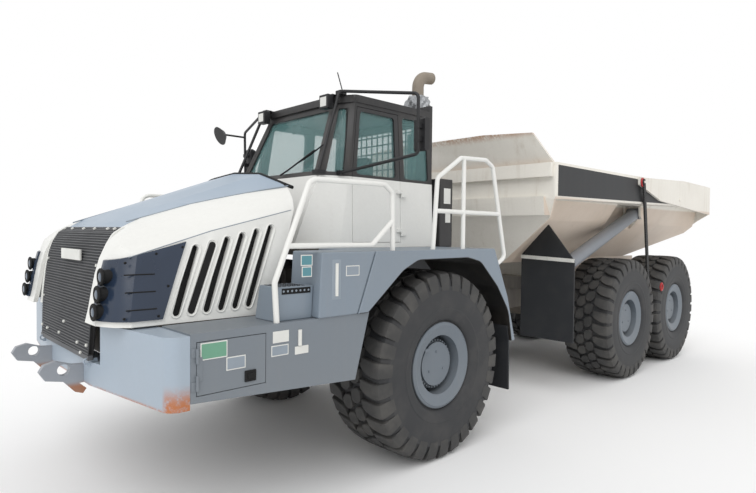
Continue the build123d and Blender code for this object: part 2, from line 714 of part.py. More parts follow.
def exhaust():
    """Muffler behind the cab with a stack that turns rearward at its top."""
    muffler = rod((ahead(-905), 430, z_deck), (ahead(-905), 430, 3420), 125)
    stack = tube([(ahead(-905), 430, 3400), (ahead(-905), 430, 4130), (ahead(-1150), 430, 4160)], 72, 150)
    return fuse(muffler, stack)


save("rear_guard", rear_guard())
save("work_lamps", *both_sides(work_lamp()))
save("mirrors", mirror(), fuse(mirror().mirror(Plane.XZ), blind_spot_mirror()))
save("handrails", *both_sides(*handrails()))
save("exhaust", exhaust())
save("cabinet", block(ahead(-1000), ahead(-770), 600, 920, z_deck, 2850))

# Hood: a hollow shell through four sections, with slotted sides, grille, lamp panels and lamps
hood_base = 1550.0
hood_wall = 36.0
# distance ahead of the axle, then (half width, level) at the base, crease, two shoulder edges, crown edge,
# crown's quarter and middle
hood_sections = [
    (2990, (1190, hood_base), (1090, 1975), (1000, 2055), (880, 2125), (740, 2170), (400, 2200), (0, 2205)),
    (2800, (1192, hood_base), (1110, 2025), (1020, 2105), (900, 2175), (750, 2220), (400, 2255), (0, 2262)),
    (2200, (1200, hood_base), (1130, 2215), (1060, 2300), (960, 2375), (850, 2420), (450, 2462), (0, 2472)),
    (1320, (1240, hood_base), (1160, 2440), (1100, 2525), (1010, 2600), (900, 2650), (480, 2775), (0, 2810)),
]
# how much of a skin's depth each of those points moves inward and down
hood_inset = [(1.0, 0.0), (1.0, 0.4), (0.8, 0.6), (0.6, 0.8), (0.5, 1.0), (0.0, 1.0), (0.0, 1.0)]
# the nose's side profile from its foot to where it meets the crown
nose_line = [(2974, 1400), (2972, 1550), (2950, 1650), (2928, 1780), (2905, 1900), (2875, 2010), (2835, 2100),
             (2785, 2165), (2725, 2215), (2650, 2262), (2560, 2310), (2440, 2370), (2350, 2420)]
# the nose's corner in plan, and how far it leans back and in over its height
nose_corner = [(3200, 980), (2985, 980), (2960, 1045), (2915, 1135), (2820, 1215), (2820, 1500), (3200, 1500)]
nose_lean = (130.0, 110.0)
nose_top = 2200.0


def hood_wire(section, depth, shift):
    """Closed section of the hood, moved inward by a depth and forward by a shift."""
    half = [(y - depth * inward, z - depth * down) for (y, z), (inward, down) in zip(section[1:], hood_inset)]
    points = half + [(-y, z) for y, z in reversed(half[:-1])]
    return Wire.make_polygon([Vector(ahead(section[0]) + shift, y, z) for y, z in points], close=True)


def corner_wire(level, share, depth):
    """Closed plan of the nose's left corner cutter at one level."""
    return Wire.make_polygon([Vector(ahead(x - share * nose_lean[0] - depth), y - share * nose_lean[1] - depth, level)
                              for x, y in nose_corner], close=True)


def hood_form(depth):
    """Solid hood with its rounded nose, moved inward by a depth."""
    body = Solid.make_loft([hood_wire(section, depth, -depth) for section in hood_sections], ruled=True)
    profile = [(ahead(x - depth), z - 0.5 * depth * (z > 2000)) for x, z in nose_line]
    ahead_of_nose = side_plate(profile + [(ahead(2350), 3000), (ahead(3300), 3000), (ahead(3300), 1400)], -1500, 1500)
    corner = Solid.make_loft([corner_wire(hood_base - 100, 0.0, depth), corner_wire(nose_top, 1.0, depth)], ruled=True)
    return trim(body, ahead_of_nose, *both_sides(corner))


hood_solid = hood_form(0)
slot_count = 6
slot_width = 66.0
slot_end_radius = 29.0


def hood():
    """Shell open below, behind and at the grille, with six slanted slots a side."""
    below = block(ahead(1000), ahead(3000), -1300, 1300, hood_base - 50, hood_base + 0.001)
    shell = trim(hood_solid, hood_form(hood_wall), below)
    mouth = side_plate([(ahead(2500), hood_base - 100), (ahead(3100), hood_base - 100), (ahead(3100), 2400),
                        (ahead(grille_line[-1][0]), 2400), (ahead(grille_line[-1][0]), 2150), (ahead(2500), 2150)],
                       -grille_half, grille_half)
    rear_cut = side_plate([(ahead(1720), hood_base - 10), (ahead(1300), 2900), (ahead(1200), 2900),
                           (ahead(1200), hood_base - 10)], -1300, 1300)
    slots = []
    for index in range(slot_count):
        share = index / (slot_count - 1)
        foot = Vector(ahead(2499 - 583 * share), 900, 1595 + 20 * share)
        top = Vector(ahead(2321 - 640 * share), 900, 2110 + 160 * share)
        across = Vector(slot_width / 2, 0, 0)
        corners = [foot - across, foot + across, top + across, top - across]
        slots.append(rounded_solid([tuple(corner) for corner in corners], slot_end_radius, (0, 400, 0)))
    return trim(shell, mouth, rear_cut, *both_sides(*slots))


# distance ahead of the axle, level: the grille's face, which leans back and curls over the top
grille_line = [(2930, grille_foot), (2918, 1520), (2903, 1690), (2882, 1860), (2855, 2010), (2822, 2110), (2775, 2190),
               (2700, 2242)]
grille_depth = 36.0
grille_columns = 14
grille_rows = 16


def grille():
    """Frame with upright and level bars, curved back at its top, on the hood's hinge pin."""
    outer = grille_line + [(x - grille_depth, z - 0.6 * grille_depth * (z > 2000)) for x, z in reversed(grille_line)]
    half = grille_half - seat_gap
    sheet = side_plate([(ahead(x), z) for x, z in outer], -half, half)
    cells = []
    row_pitch = 50.0
    column_pitch = 2 * (grille_half - 40) / grille_columns
    for row in range(grille_rows):
        low = grille_foot + 60 + row * row_pitch
        for column in range(grille_columns):
            left = -grille_half + 48 + column * column_pitch
            cells.append(block(ahead(2700), ahead(3000), left, left + column_pitch - 16, low, low + row_pitch - 16))
    pins = both_sides(cross_rod(hood_hinge_x, hood_hinge_z, hood_pin_radius, hood_hinge_y - 50, hood_hinge_y + 50))
    ear_gaps = [block(ahead(2840), ahead(3000), side * hood_hinge_y - 12, side * hood_hinge_y + 12, 1200, 1290)
                for side in (-1, 1)]
    return fuse(trim(sheet, *cells, *ear_gaps, hood_shell), *pins)


hood_shell = hood()
save("hood", hood_shell)
save("grille", grille())

# Lamp panels wrapped round the hood's front corners, with three round lamps each
lamp_levels = (1650, 1770, 1890)
lamp_y = 985.0
lamp_radius = 50.0
lamp_faces = (2985, 2962, 2938)
panel_depth = 16.0
panel_inner = 890.0


def lamp_panel():
    """Left dark skin over the hood's front corner, holed for the lamps."""
    skin = trim(hood_form(-panel_depth), hood_solid)
    region = side_plate([(ahead(2600), 1590), (ahead(2400), 2135), (ahead(2840), 2015), (ahead(3100), 1950),
                         (ahead(3100), 1590)], panel_inner, 1300)
    return skin.intersect(region).solid()


def headlamp(level, face):
    """Left lamp at one level, from the hood's front out to its face."""
    return trim(rod((ahead(2860), lamp_y, level), (ahead(face), lamp_y, level), lamp_radius), hood_solid)


lamps = [headlamp(level, face) for level, face in zip(lamp_levels, lamp_faces)]
save("lamp_panels", *both_sides(trim(lamp_panel(), *lamps)))
save("headlamps", *both_sides(*lamps))

# Hitch: the casting that turns on the tractor's pin and carries the roll trunnion and steering ears
trunnion_radius = 130.0
trunnion_rear = 900.0
steer_ear_behind = 200.0
steer_ear_y = 460.0
x_steer_ear = x_pivot - steer_ear_behind
x_trunnion_end = x_pivot - trunnion_rear


def hitch():
    """Pivot boss, two ears for the steering rods and the round trunnion behind."""
    boss = Solid.make_cylinder(185, hitch_high - hitch_low, Plane(origin=(x_pivot, 0, hitch_low)))
    yoke = plan_plate([(x_pivot, 180), (x_pivot - 120, 300), (x_steer_ear - 60, steer_ear_y - 40),
                       (x_steer_ear - 170, 260), (x_pivot - 420, 200), (x_pivot - 420, -200),
                       (x_steer_ear - 170, -260), (x_steer_ear - 60, 40 - steer_ear_y), (x_pivot - 120, -300),
                       (x_pivot, -180)], hitch_low, hitch_high)
    ears = []
    for side in (-1, 1):
        for low in (hitch_low, hitch_high - 40):
            ears.append(Solid.make_cylinder(75, 40, Plane(origin=(x_steer_ear, side * steer_ear_y, low))))
            ears.append(block(x_steer_ear - 60, x_steer_ear + 40, *sorted((side * 300, side * steer_ear_y)),
                              low, low + 40))
    gaps = [block(x_steer_ear - 110, x_steer_ear + 130, *sorted((side * 350, side * 600)), hitch_low + 40,
                  hitch_high - 40) for side in (-1, 1)]
    trunnion = rod((x_pivot - 300, 0, steer_height), (x_trunnion_end, 0, steer_height), trunnion_radius)
    bore = rod((x_pivot, 0, hitch_low - 10), (x_pivot, 0, hitch_high + 10), pivot_pin_radius + running_gap)
    return trim(fuse(trim(fuse(boss, yoke, *ears), *gaps), trunnion), bore)


save("hitch", hitch())


# half of the rod's travel, the barrel's closed length behind its eye, and the gland's distance from the rod's eye
steer_stroke = 357.0
steer_dead_length = 130.0
steer_gland = 430.0


def steer_cylinder(side):
    """Barrel on the tractor and rod to the hitch, along the line between their pins."""
    start = Vector(x_steer_anchor, side * steer_anchor_y, steer_height)
    end = Vector(x_steer_ear, side * steer_ear_y, steer_height)
    along = (end - start).normalized()
    length = (end - start).length
    half = steer_anchor_half - steer_anchor_plate - joint_gap
    eye = Solid.make_cylinder(58, 2 * half, Plane(origin=start - Vector(0, 0, half)))
    hole = Solid.make_cylinder(steer_pin_radius + running_gap, 2 * half, Plane(origin=start - Vector(0, 0, half)))
    shell = rod(tuple(start + along * 40), tuple(start + along * (length - steer_gland)), steer_tube_radius)
    bore = rod(tuple(start + along * (steer_dead_length - 10)), tuple(start + along * length),
               steer_rod_radius + running_gap)
    barrel = trim(fuse(eye, shell), bore, hole)
    shaft = rod(tuple(start + along * (steer_dead_length + steer_stroke)), tuple(end - along * 40), steer_rod_radius)
    rod_eye = Solid.make_cylinder(52, 90, Plane(origin=end - Vector(0, 0, 45)))
    eye_hole = Solid.make_cylinder(steer_pin_radius, 90, Plane(origin=end - Vector(0, 0, 45)))
    return barrel, trim(fuse(shaft, rod_eye), eye_hole)


for side_name, side in (("left", 1), ("right", -1)):
    steer_barrel, steer_rod = steer_cylinder(side)
    save(f"steer_barrel_{side_name}", steer_barrel)
    save(f"steer_rod_{side_name}", steer_rod)

# Rear frame: bearing for the trunnion, two rails, the hoist outrigger and the body's hinge
rear_rail_inner = 400.0
rear_rail_outer = 520.0
rear_rail_top = 1420.0
bearing_radius = 230.0
bearing_front = -570.0
hinge_from_mid = -2420.0
hinge_height = 1450.0
hinge_pin_radius = 60.0
x_hinge = behind(hinge_from_mid)
hoist_y = 1300.0
hoist_foot_from_mid = 1630.0
hoist_foot_height = 1743.0
hoist_head_from_mid = -853.0
hoist_head_height = 2576.0
hoist_radius = 98.0
hoist_rod_radius = 52.0
hoist_eye_radius = 92.0
ear_plate = 34.0
hoist_eye_half = 104.0
hoist_pin_radius = 38.0
x_hoist_foot = behind(hoist_foot_from_mid)
x_hoist_head = behind(hoist_head_from_mid)
outrigger_drop = 143.0
outrigger_depth = 180.0
outrigger_top = hoist_foot_height - outrigger_drop
strap_foot_from_mid = -970.0
strap_foot_height = 1330.0
strap_foot_y = 1500.0


def rear_frame():
    """Rear chassis as one welded piece."""
    x_bearing = x_pivot + bearing_front
    housing = rod((x_bearing, 0, steer_height), (x_bearing - 300, 0, steer_height), bearing_radius)
    front = block(x_bearing - 300, x_bearing - 90, -rear_rail_outer, rear_rail_outer, 1010, 1430)
    bore = rod((x_bearing + 10, 0, steer_height), (x_trunnion_end - 30, 0, steer_height),
               trunnion_radius + running_gap)
    rails = both_sides(block(x_hinge - 90, x_bearing - 200, rear_rail_inner, rear_rail_outer, z_frame_bottom,
                             rear_rail_top))
    members = [block(behind(offset) - 60, behind(offset) + 60, -rear_rail_inner, rear_rail_inner, low, high)
               # place ahead of the middle axle, lower and upper level
               for offset, low, high in ((900, 1150, 1400), (-970, 1080, 1400), (-2330, 1150, 1400))]
    outrigger = block(x_hoist_foot - 110, x_hoist_foot + 110, -hoist_y - 140, hoist_y + 140,
                      outrigger_top - outrigger_depth, outrigger_top)
    ears = []
    for side in (-1, 1):
        for inner in (hoist_y - hoist_eye_half - joint_gap - ear_plate, hoist_y + hoist_eye_half + joint_gap):
            low_y, high_y = sorted((side * inner, side * (inner + ear_plate)))
            ears.append(side_plate([(x_hoist_foot - 100, outrigger_top), (x_hoist_foot - 70, hoist_foot_height + 80),
                                    (x_hoist_foot + 70, hoist_foot_height + 80), (x_hoist_foot + 100, outrigger_top)],
                                   low_y, high_y))
        ears.append(side_plate([(x_hinge - 120, z_frame_bottom + 100), (x_hinge - 90, hinge_height + 80),
                                (x_hinge + 90, hinge_height + 80), (x_hinge + 220, rear_rail_top - 10)],
                               *sorted((side * rear_rail_inner, side * rear_rail_outer))))
        ears.append(cross_rod(x_hinge, hinge_height, hinge_pin_radius, *sorted((side * 500, side * 640))))
    arms = [side_plate([(behind(strap_foot_from_mid) - 45, 1290), (behind(strap_foot_from_mid) - 45, 1370),
                        (behind(strap_foot_from_mid) + 45, 1370), (behind(strap_foot_from_mid) + 45, 1290)],
                       *sorted((side * 500, side * (strap_foot_y - 40)))) for side in (-1, 1)]
    pivots = [cross_rod(behind(-bogie_spacing / 2), 1060, 70, *sorted((side * 410, side * 880))) for side in (-1, 1)]
    return trim(fuse(housing, front, *rails, *members, outrigger, *ears, *arms, *pivots), bore)


def walking_beam():
    """Left beam between the two rear axles, carried at its middle."""
    x_middle = behind(-bogie_spacing / 2)
    plate_outline = [(x_mid + 210, 800), (x_mid + 210, 1060), (x_middle + 180, 1170), (x_middle - 180, 1170),
                     (x_rear - 210, 1060), (x_rear - 210, 800), (x_middle, 900)]
    beam = side_plate(plate_outline, 620, 840)
    bores = [cross_rod(x, axle_height, 150 + seat_gap, 600, 860) for x in (x_mid, x_rear)]
    return trim(beam, *bores, cross_rod(x_middle, 1060, 70 + seat_gap, 600, 900))


save("rear_frame", rear_frame())
save("mid_axle", axle(x_mid, 330))
save("rear_axle", axle(x_rear, 330))
save("walking_beams", *both_sides(walking_beam()))

# Mud flaps ahead of the middle wheels, hung from the outrigger
flap_station = x_hoist_foot + 226.0
flap_outline = [(820, 780), (1610, 780), (1610, 1870), (1225, 2350), (820, 1930)]
flap_bracket = block(x_hoist_foot + 110, flap_station, 1000, hoist_y + 140, outrigger_top - 130, outrigger_top - 60)
save("mid_flaps", *both_sides(fuse(cross_plate(flap_outline, flap_station, flap_station + 24), flap_bracket)))

# Tipping body: a loft of sections, open above, with a leaning guard and box ribs on its front wall
tailgate_plate = 40.0
tail_gap = 35.0
x_bed_end = x_tail + tailgate_plate + tail_gap
bed_front_top = 2530.0
bed_front_foot = 2010.0
ramp_length = 1345.0
# distance ahead of the middle axle, half width and level of the floor's edge, of the crease, of the
# rail's inner foot, then the rail's lower and upper levels
bed_sections = [
    (2700, (600, 1800), (1240, 2400), 1430, 2650, 3100),
    (x_bed_end - x_mid + ramp_length, (600, 1800), (1240, 2400), 1430, 2740, 3130),
    ((x_bed_end - x_mid), (1290, 2270), (1440, 2400), 1520, 2770, 3150),
]
bed_half = 1680.0
floor_wall = 40.0

# The tailgate's arms lie outside the rails and turn on stub pins
arm_inner = bed_half + 6.0
arm_plate = 36.0
gate_pin_radius = 32.0
gate_pivot_from_tail = 1720.0
gate_pivot = (x_tail - x_mid + gate_pivot_from_tail, 2840.0)
arm_tip = (-30.0, 3030.0)
strap_pin_radius = 20.0
strap_gap = 20.0
strap_thick = 24.0
strap_half_width = 42.0


def bed_wire(section, depth):
    """Closed section of the body, or of its inside when a depth is given."""
    x, floor, crease, foot, rail_low, rail_top = section
    if depth:
        half = [(floor[0] - 0.4 * depth, floor[1] + depth), (crease[0] - 0.8 * depth, crease[1] + 0.6 * depth),
                (foot - 1.2 * depth, rail_low), (bed_half - 120, rail_top), (bed_half - 120, rail_top + 200)]
    else:
        half = [floor, crease, (foot, rail_low), (bed_half, rail_low), (bed_half, rail_top)]
    points = half + [(-y, z) for y, z in reversed(half)]
    return Wire.make_polygon([Vector(behind(x), y, z) for y, z in points], close=True)


def bed():
    """Tipping body with its hinge bolsters and the pockets for the hoist cylinders."""
    outer = Solid.make_loft([bed_wire(section, 0) for section in bed_sections], ruled=True)
    cavity = Solid.make_loft([bed_wire(section, floor_wall) for section in bed_sections], ruled=True)
    front = [(behind(bed_front_top), 3400), (behind(bed_front_top), 2650), (behind(bed_front_foot), 1770),
             (behind(bed_front_foot), 1500), (behind(3000), 1500), (behind(3000), 3400)]
    outer = trim(outer, side_plate(front, -2000, 2000))
    cavity = trim(cavity, side_plate([(x - floor_wall, z) for x, z in front], -2000, 2000))
    pockets, pocket_walls = [], []
    for side in (-1, 1):
        low_y, high_y = sorted((side * (hoist_y - 150), side * (hoist_y + 150)))
        pockets.append(block(x_hoist_head - 160, x_hoist_head + 980, low_y, high_y, 2150, 2705))
        pocket_walls.append(block(x_hoist_head - 160 - floor_wall, x_hoist_head + 980 + floor_wall,
                                  low_y - floor_wall, high_y + floor_wall, 2100, 2705 + floor_wall))
    shell = trim(outer, trim(cavity, *pocket_walls), *pockets)
    wall_outline = [(620, 1817), (1528, 2422), (1660, 2650), (1660, 3100)]
    front_wall = cross_plate(mirrored_outline(wall_outline), behind(1900), behind(2700))
    band = side_plate([(behind(bed_front_top), 3100), (behind(bed_front_top), 2650), (behind(bed_front_foot), 1770),
                       (behind(bed_front_foot) - floor_wall, 1770), (behind(bed_front_top) - floor_wall, 2650),
                       (behind(bed_front_top) - floor_wall, 3100)], -2000, 2000)
    front_wall = front_wall.intersect(band).solid()
    guard_slab = side_plate([(behind(bed_front_top), 3080), (behind(bed_front_top) - floor_wall, 3080),
                             (behind(bed_front_top + 200) - floor_wall, 3510), (behind(bed_front_top + 200), 3510)],
                            -2000, 2000)
    guard_cap = cross_plate(mirrored_outline([(1660, 3070), (1440, 3460), (730, 3505)]), behind(2000), behind(3000))
    guard = guard_slab.intersect(guard_cap).solid()
    ribs = [block(behind(bed_front_top) - 10, behind(bed_front_top) + 70, -1640, 1640, 2925, 3095),
            side_plate([(behind(bed_front_top) - 60, 2690), (behind(bed_front_top) + 50, 2690),
                        (behind(bed_front_top) + 20, 2455), (behind(bed_front_top) - 150, 2455)], -1540, 1540)]
    bolsters = []
    for side in (-1, 1):
        low_y, high_y = sorted((side * (rear_rail_outer + 20), side * (rear_rail_outer + 100)))
        bolsters.append(side_plate([(x_hoist_foot - 160, 1810), (x_hoist_foot - 160, 1640), (x_mid + 900, 1500),
                                    (x_hinge + 200, hinge_height - 60), (x_hinge + 60, hinge_height - 120),
                                    (x_hinge - 60, hinge_height - 120), (x_hinge - 120, hinge_height),
                                    (x_hinge - 120, 1810)], low_y, high_y))
    bearers = [block(x_mid + offset - 60, x_mid + offset + 60, -rear_rail_outer - 30, rear_rail_outer + 30,
                     rear_rail_top + seat_gap, 1810) for offset in (700, -300, -1300)]
    bores = [cross_rod(x_hinge, hinge_height, hinge_pin_radius + running_gap, -700, 700)]
    ears = []
    pins = []
    for side in (-1, 1):
        for inner in (hoist_y - hoist_eye_half - joint_gap - ear_plate, hoist_y + hoist_eye_half + joint_gap):
            low_y, high_y = sorted((side * inner, side * (inner + ear_plate)))
            ears.append(side_plate([(x_hoist_head - 110, 2710), (x_hoist_head - 110, 2540),
                                    (x_hoist_head - 40, 2480), (x_hoist_head + 40, 2480), (x_hoist_head + 110, 2540),
                                    (x_hoist_head + 110, 2710)], low_y, high_y))
        reach = hoist_eye_half + joint_gap + ear_plate
        pins.append(cross_rod(x_hoist_head, hoist_head_height, hoist_pin_radius, side * hoist_y - reach,
                              side * hoist_y + reach))
        pins.append(cross_rod(behind(gate_pivot[0]), gate_pivot[1], gate_pin_radius,
                              *sorted((side * (bed_half - 40), side * (arm_inner + arm_plate + 12)))))
    return trim(fuse(shell, front_wall, guard, *ribs, *bolsters, *bearers, *ears, *pins), *bores)


save("bed", bed())


def hoist_cylinder(side):
    """Barrel hung in the body's ears and rod down to the outrigger's ears."""
    head = Vector(x_hoist_head, side * hoist_y, hoist_head_height)
    foot = Vector(x_hoist_foot, side * hoist_y, hoist_foot_height)
    along = (foot - head).normalized()
    length = (foot - head).length
    eye = cross_rod(head.X, head.Z, hoist_eye_radius, head.Y - hoist_eye_half, head.Y + hoist_eye_half)
    hole = cross_rod(head.X, head.Z, hoist_pin_radius + running_gap, head.Y - hoist_eye_half,
                     head.Y + hoist_eye_half)
    shell = rod(tuple(head + along * 60), tuple(head + along * (length - 190)), hoist_radius)
    bore = rod(tuple(head + along * 180), tuple(head + along * length), hoist_rod_radius + running_gap)
    shaft = rod(tuple(head + along * 220), tuple(foot - along * 60), hoist_rod_radius)
    rod_eye = cross_rod(foot.X, foot.Z, hoist_eye_radius, foot.Y - hoist_eye_half, foot.Y + hoist_eye_half)
    eye_hole = cross_rod(foot.X, foot.Z, hoist_pin_radius, foot.Y - hoist_eye_half, foot.Y + hoist_eye_half)
    return trim(fuse(eye, shell), bore, hole), trim(fuse(shaft, rod_eye), eye_hole)


for side_name, side in (("left", 1), ("right", -1)):
    hoist_barrel, hoist_rod = hoist_cylinder(side)
    save(f"hoist_barrel_{side_name}", hoist_barrel)
    save(f"hoist_rod_{side_name}", hoist_rod)

# Tailgate on arms outside the rails, and the straps that lift it as the body tips
# distance ahead of the middle axle, level
arm_outline = [(30, 3100), (20, 2990), (-280, 2915), (-850, 2780), (x_tail - x_mid, 2630), (x_tail - x_mid, 3160),
               (x_tail - x_mid + 1470, 3180)]


def tailgate():
    """Two arms joined by the gate across the body's end."""
    arm = side_plate([(behind(x), z) for x, z in arm_outline], arm_inner, arm_inner + arm_plate)
    bore = cross_rod(behind(gate_pivot[0]), gate_pivot[1], gate_pin_radius + running_gap, bed_half, bed_half + 100)
    outer = arm_inner + arm_plate
    pin = cross_rod(behind(arm_tip[0]), arm_tip[1], strap_pin_radius, arm_inner + 10,
                    outer + strap_gap + strap_thick + 8)
    gate = cross_plate(mirrored_outline([(1260, 2300), (1500, 2500), (arm_inner + arm_plate, 2640),
                                         (arm_inner + arm_plate, 3150)]), x_tail, x_tail + tailgate_plate)
    return fuse(gate, *both_sides(trim(arm, bore), pin))


def strap():
    """Left strap from the arm's tip down to the frame's arm between the wheels."""
    inner = arm_inner + arm_plate + strap_gap
    foot = Vector(behind(strap_foot_from_mid), strap_foot_y, strap_foot_height)
    head = Vector(behind(arm_tip[0]), inner, arm_tip[1])
    line = foot - head
    across = Vector(-line.Z, 0, line.X).normalized() * strap_half_width
    corners = [head + across, foot + across, foot - across, head - across]
    web = outline_solid([tuple(corner) for corner in corners], (0, strap_thick, 0))
    eye = cross_rod(head.X, head.Z, 45, inner, inner + strap_thick)
    bore = cross_rod(head.X, head.Z, strap_pin_radius + running_gap, inner - 20, inner + 2 * strap_thick)
    return trim(fuse(web, eye), bore)


save("tailgate", tailgate())
save("straps", *both_sides(strap()))
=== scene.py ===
"""Articulated dump truck: camera, studio, paint and the finer forms, laid out as an add-on."""

import json
import math

import bmesh
import bpy
import numpy as np
from mathutils import Matrix, Vector


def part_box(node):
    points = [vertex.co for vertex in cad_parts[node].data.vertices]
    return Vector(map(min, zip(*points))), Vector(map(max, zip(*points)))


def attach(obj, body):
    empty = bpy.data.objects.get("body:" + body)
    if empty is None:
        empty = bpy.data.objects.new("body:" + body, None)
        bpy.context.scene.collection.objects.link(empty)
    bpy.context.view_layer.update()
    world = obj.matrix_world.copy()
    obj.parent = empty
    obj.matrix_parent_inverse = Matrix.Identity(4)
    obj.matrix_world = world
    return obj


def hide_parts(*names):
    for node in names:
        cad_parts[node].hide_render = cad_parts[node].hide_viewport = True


bl_info = {
    "name": "Articulated dump truck dresser",
    "version": (1, 0, 0),
    "blender": (4, 5, 0),
    "location": "View3D > Sidebar > Dump truck",
    "description": "Dresses the packed dump truck with paint, tread, lamps and a studio",
    "category": "Object",
}

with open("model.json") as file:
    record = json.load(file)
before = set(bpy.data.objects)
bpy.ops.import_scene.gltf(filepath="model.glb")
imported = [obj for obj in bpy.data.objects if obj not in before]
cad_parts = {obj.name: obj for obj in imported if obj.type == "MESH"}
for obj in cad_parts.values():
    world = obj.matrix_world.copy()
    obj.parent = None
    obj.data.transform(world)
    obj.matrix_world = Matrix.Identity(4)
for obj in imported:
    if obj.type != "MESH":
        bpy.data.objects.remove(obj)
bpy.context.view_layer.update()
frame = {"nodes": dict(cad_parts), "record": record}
nodes = frame["nodes"]


def middle(node):
    """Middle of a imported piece's box."""
    low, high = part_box(node)
    return (low + high) / 2


# Stations of the truck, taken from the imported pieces, in metres
X_FRONT, Y_WHEEL, AXLE_HEIGHT = middle("tyre_front_left")
AXLES = {"front": X_FRONT, "mid": middle("tyre_mid_left").x, "rear": middle("tyre_rear_left").x}
SIDES = {"left": 1, "right": -1}
SKY_STRENGTH = 0.84
SUN_STRENGTH = 1.15
SUN_SPREAD = math.radians(50)
SUN_HEADING = (-0.75, -0.50, -0.95)
FLOOR_HALF = 60.0
FADE = (6.0, 10.0)
WHITE_LIGHT = (1.0, 1.0, 1.0, 1.0)
FULL_TURN = 2 * np.pi
UPRIGHT = (0.0, 0.0, 1.0)
FORWARD = (1.0, 0.0, 0.0)
SLANTING = (0.31, 0.95, 0.0)
STEEP = 0.95


def put(tree, socket, value):
    """Gives a socket a link from a signal or another socket, or else a value of its own."""
    if isinstance(value, Signal):
        value = value.socket
    if isinstance(value, bpy.types.NodeSocket):
        tree.links.new(value, socket)
    else:
        socket.default_value = value


def math_node(tree, operation, *values):
    """One Math node of up to three numbers or signals."""
    node = tree.nodes.new("ShaderNodeMath")
    node.operation = operation
    for place, value in enumerate(values):
        put(tree, node.inputs[place], value)
    return Signal(tree, node.outputs[0])


class Signal:
    """A shader socket that takes part in sums, differences, products and quotients as a number would."""

    def __init__(self, tree, socket):
        self.tree = tree
        self.socket = socket

    def math(self, operation, *others):
        """One Math node of this socket and up to two more values or signals."""
        return math_node(self.tree, operation, self, *others)

    def __add__(self, other):
        return self.math("ADD", other)

    def __sub__(self, other):
        return self.math("SUBTRACT", other)

    def __rsub__(self, other):
        return math_node(self.tree, "SUBTRACT", other, self)

    def __mul__(self, other):
        return self.math("MULTIPLY", other)

    def __truediv__(self, other):
        return self.math("DIVIDE", other)

    __radd__ = __add__
    __rmul__ = __mul__

    def size(self):
        """This value without its sign."""
        return self.math("ABSOLUTE")

    def either(self, other):
        """The larger of two masks."""
        return self.math("MAXIMUM", other)

    def clamp(self):
        """This value kept between 0 and 1."""
        return self.either(0.0).math("MINIMUM", 1.0)

    def ramp(self, low, high):
        """0 below low, 1 above high, straight between; low may be the larger."""
        return ((self - low) / (high - low)).clamp()

    def smooth(self, low, high):
        """As ramp, eased at both ends."""
        t = self.ramp(low, high)
        return t * t * (3.0 - 2.0 * t)


def linear(channel):
    """A screen value from 0 to 1 as linear light."""
    return channel / 12.92 if channel <= 0.04045 else ((channel + 0.055) / 1.055) ** 2.4


def shade(value):
    """A colour written as the screen shows it, as a shader colour; a socket stays as it is."""
    if isinstance(value, bpy.types.NodeSocket):
        return value
    return (*[linear(channel) for channel in value[:3]], 1.0)


class Finish:
    """One material: a Principled shader and the few node calls that feed it."""

    def __init__(self, name):
        self.material = bpy.data.materials.new(name)
        self.material.use_nodes = True
        self.tree = self.material.node_tree
        self.shader = self.tree.nodes["Principled BSDF"]
        self.place = self.node("ShaderNodeTexCoord", {}, {}).outputs["Object"]
        self.x, self.y, self.z = self.parts(self.place)
        normal = self.node("ShaderNodeNewGeometry", {}, {}).outputs["Normal"]
        self.facing_x, self.facing_y, self.facing_z = self.parts(normal)

    def node(self, kind, settings, inputs):
        """One node: settings are set first, then the values or links of its sockets."""
        made = self.tree.nodes.new(kind)
        for key, value in settings.items():
            setattr(made, key, value)
        for key, value in inputs.items():
            put(self.tree, made.inputs[key], value)
        return made

    def parts(self, vector):
        """The three coordinates of a vector."""
        split = self.node("ShaderNodeSeparateXYZ", {}, {"Vector": vector})
        return [Signal(self.tree, output) for output in split.outputs]

    def noise(self, size, detail=4.0, roughness=0.55, stretch=(1.0, 1.0, 1.0)):
        """Cloudy noise whose patches are about size metres across, stretched along the axes."""
        mapping = self.node("ShaderNodeMapping", {}, {
            "Vector": self.place, "Scale": tuple(1.0 / (size * share) for share in stretch)})
        made = self.node("ShaderNodeTexNoise", {}, {
            "Vector": mapping.outputs[0], "Scale": 1.0, "Detail": detail, "Roughness": roughness})
        return Signal(self.tree, made.outputs["Fac"])

    def mix(self, mask, low, high):
        """low where the mask is 0 and high where it is 1; both are colours or colour sockets."""
        made = self.node("ShaderNodeMix", {"data_type": "RGBA"}, {0: mask, 6: shade(low), 7: shade(high)})
        return made.outputs[2]

    def feed(self, name, value):
        """Gives one of the shader's sockets its value or link."""
        put(self.tree, self.shader.inputs[name], shade(value) if name == "Base Color" else value)

    def bump(self, height, distance, strength):
        """Relief from a height signal, over a distance in metres."""
        made = self.node("ShaderNodeBump", {}, {"Strength": strength, "Distance": distance, "Height": height})
        self.feed("Normal", made.outputs["Normal"])


DUST = (0.66, 0.62, 0.56)
GRIME = (0.35, 0.34, 0.32)
PRIMER = (0.45, 0.42, 0.39)
RUST = (0.50, 0.29, 0.15)


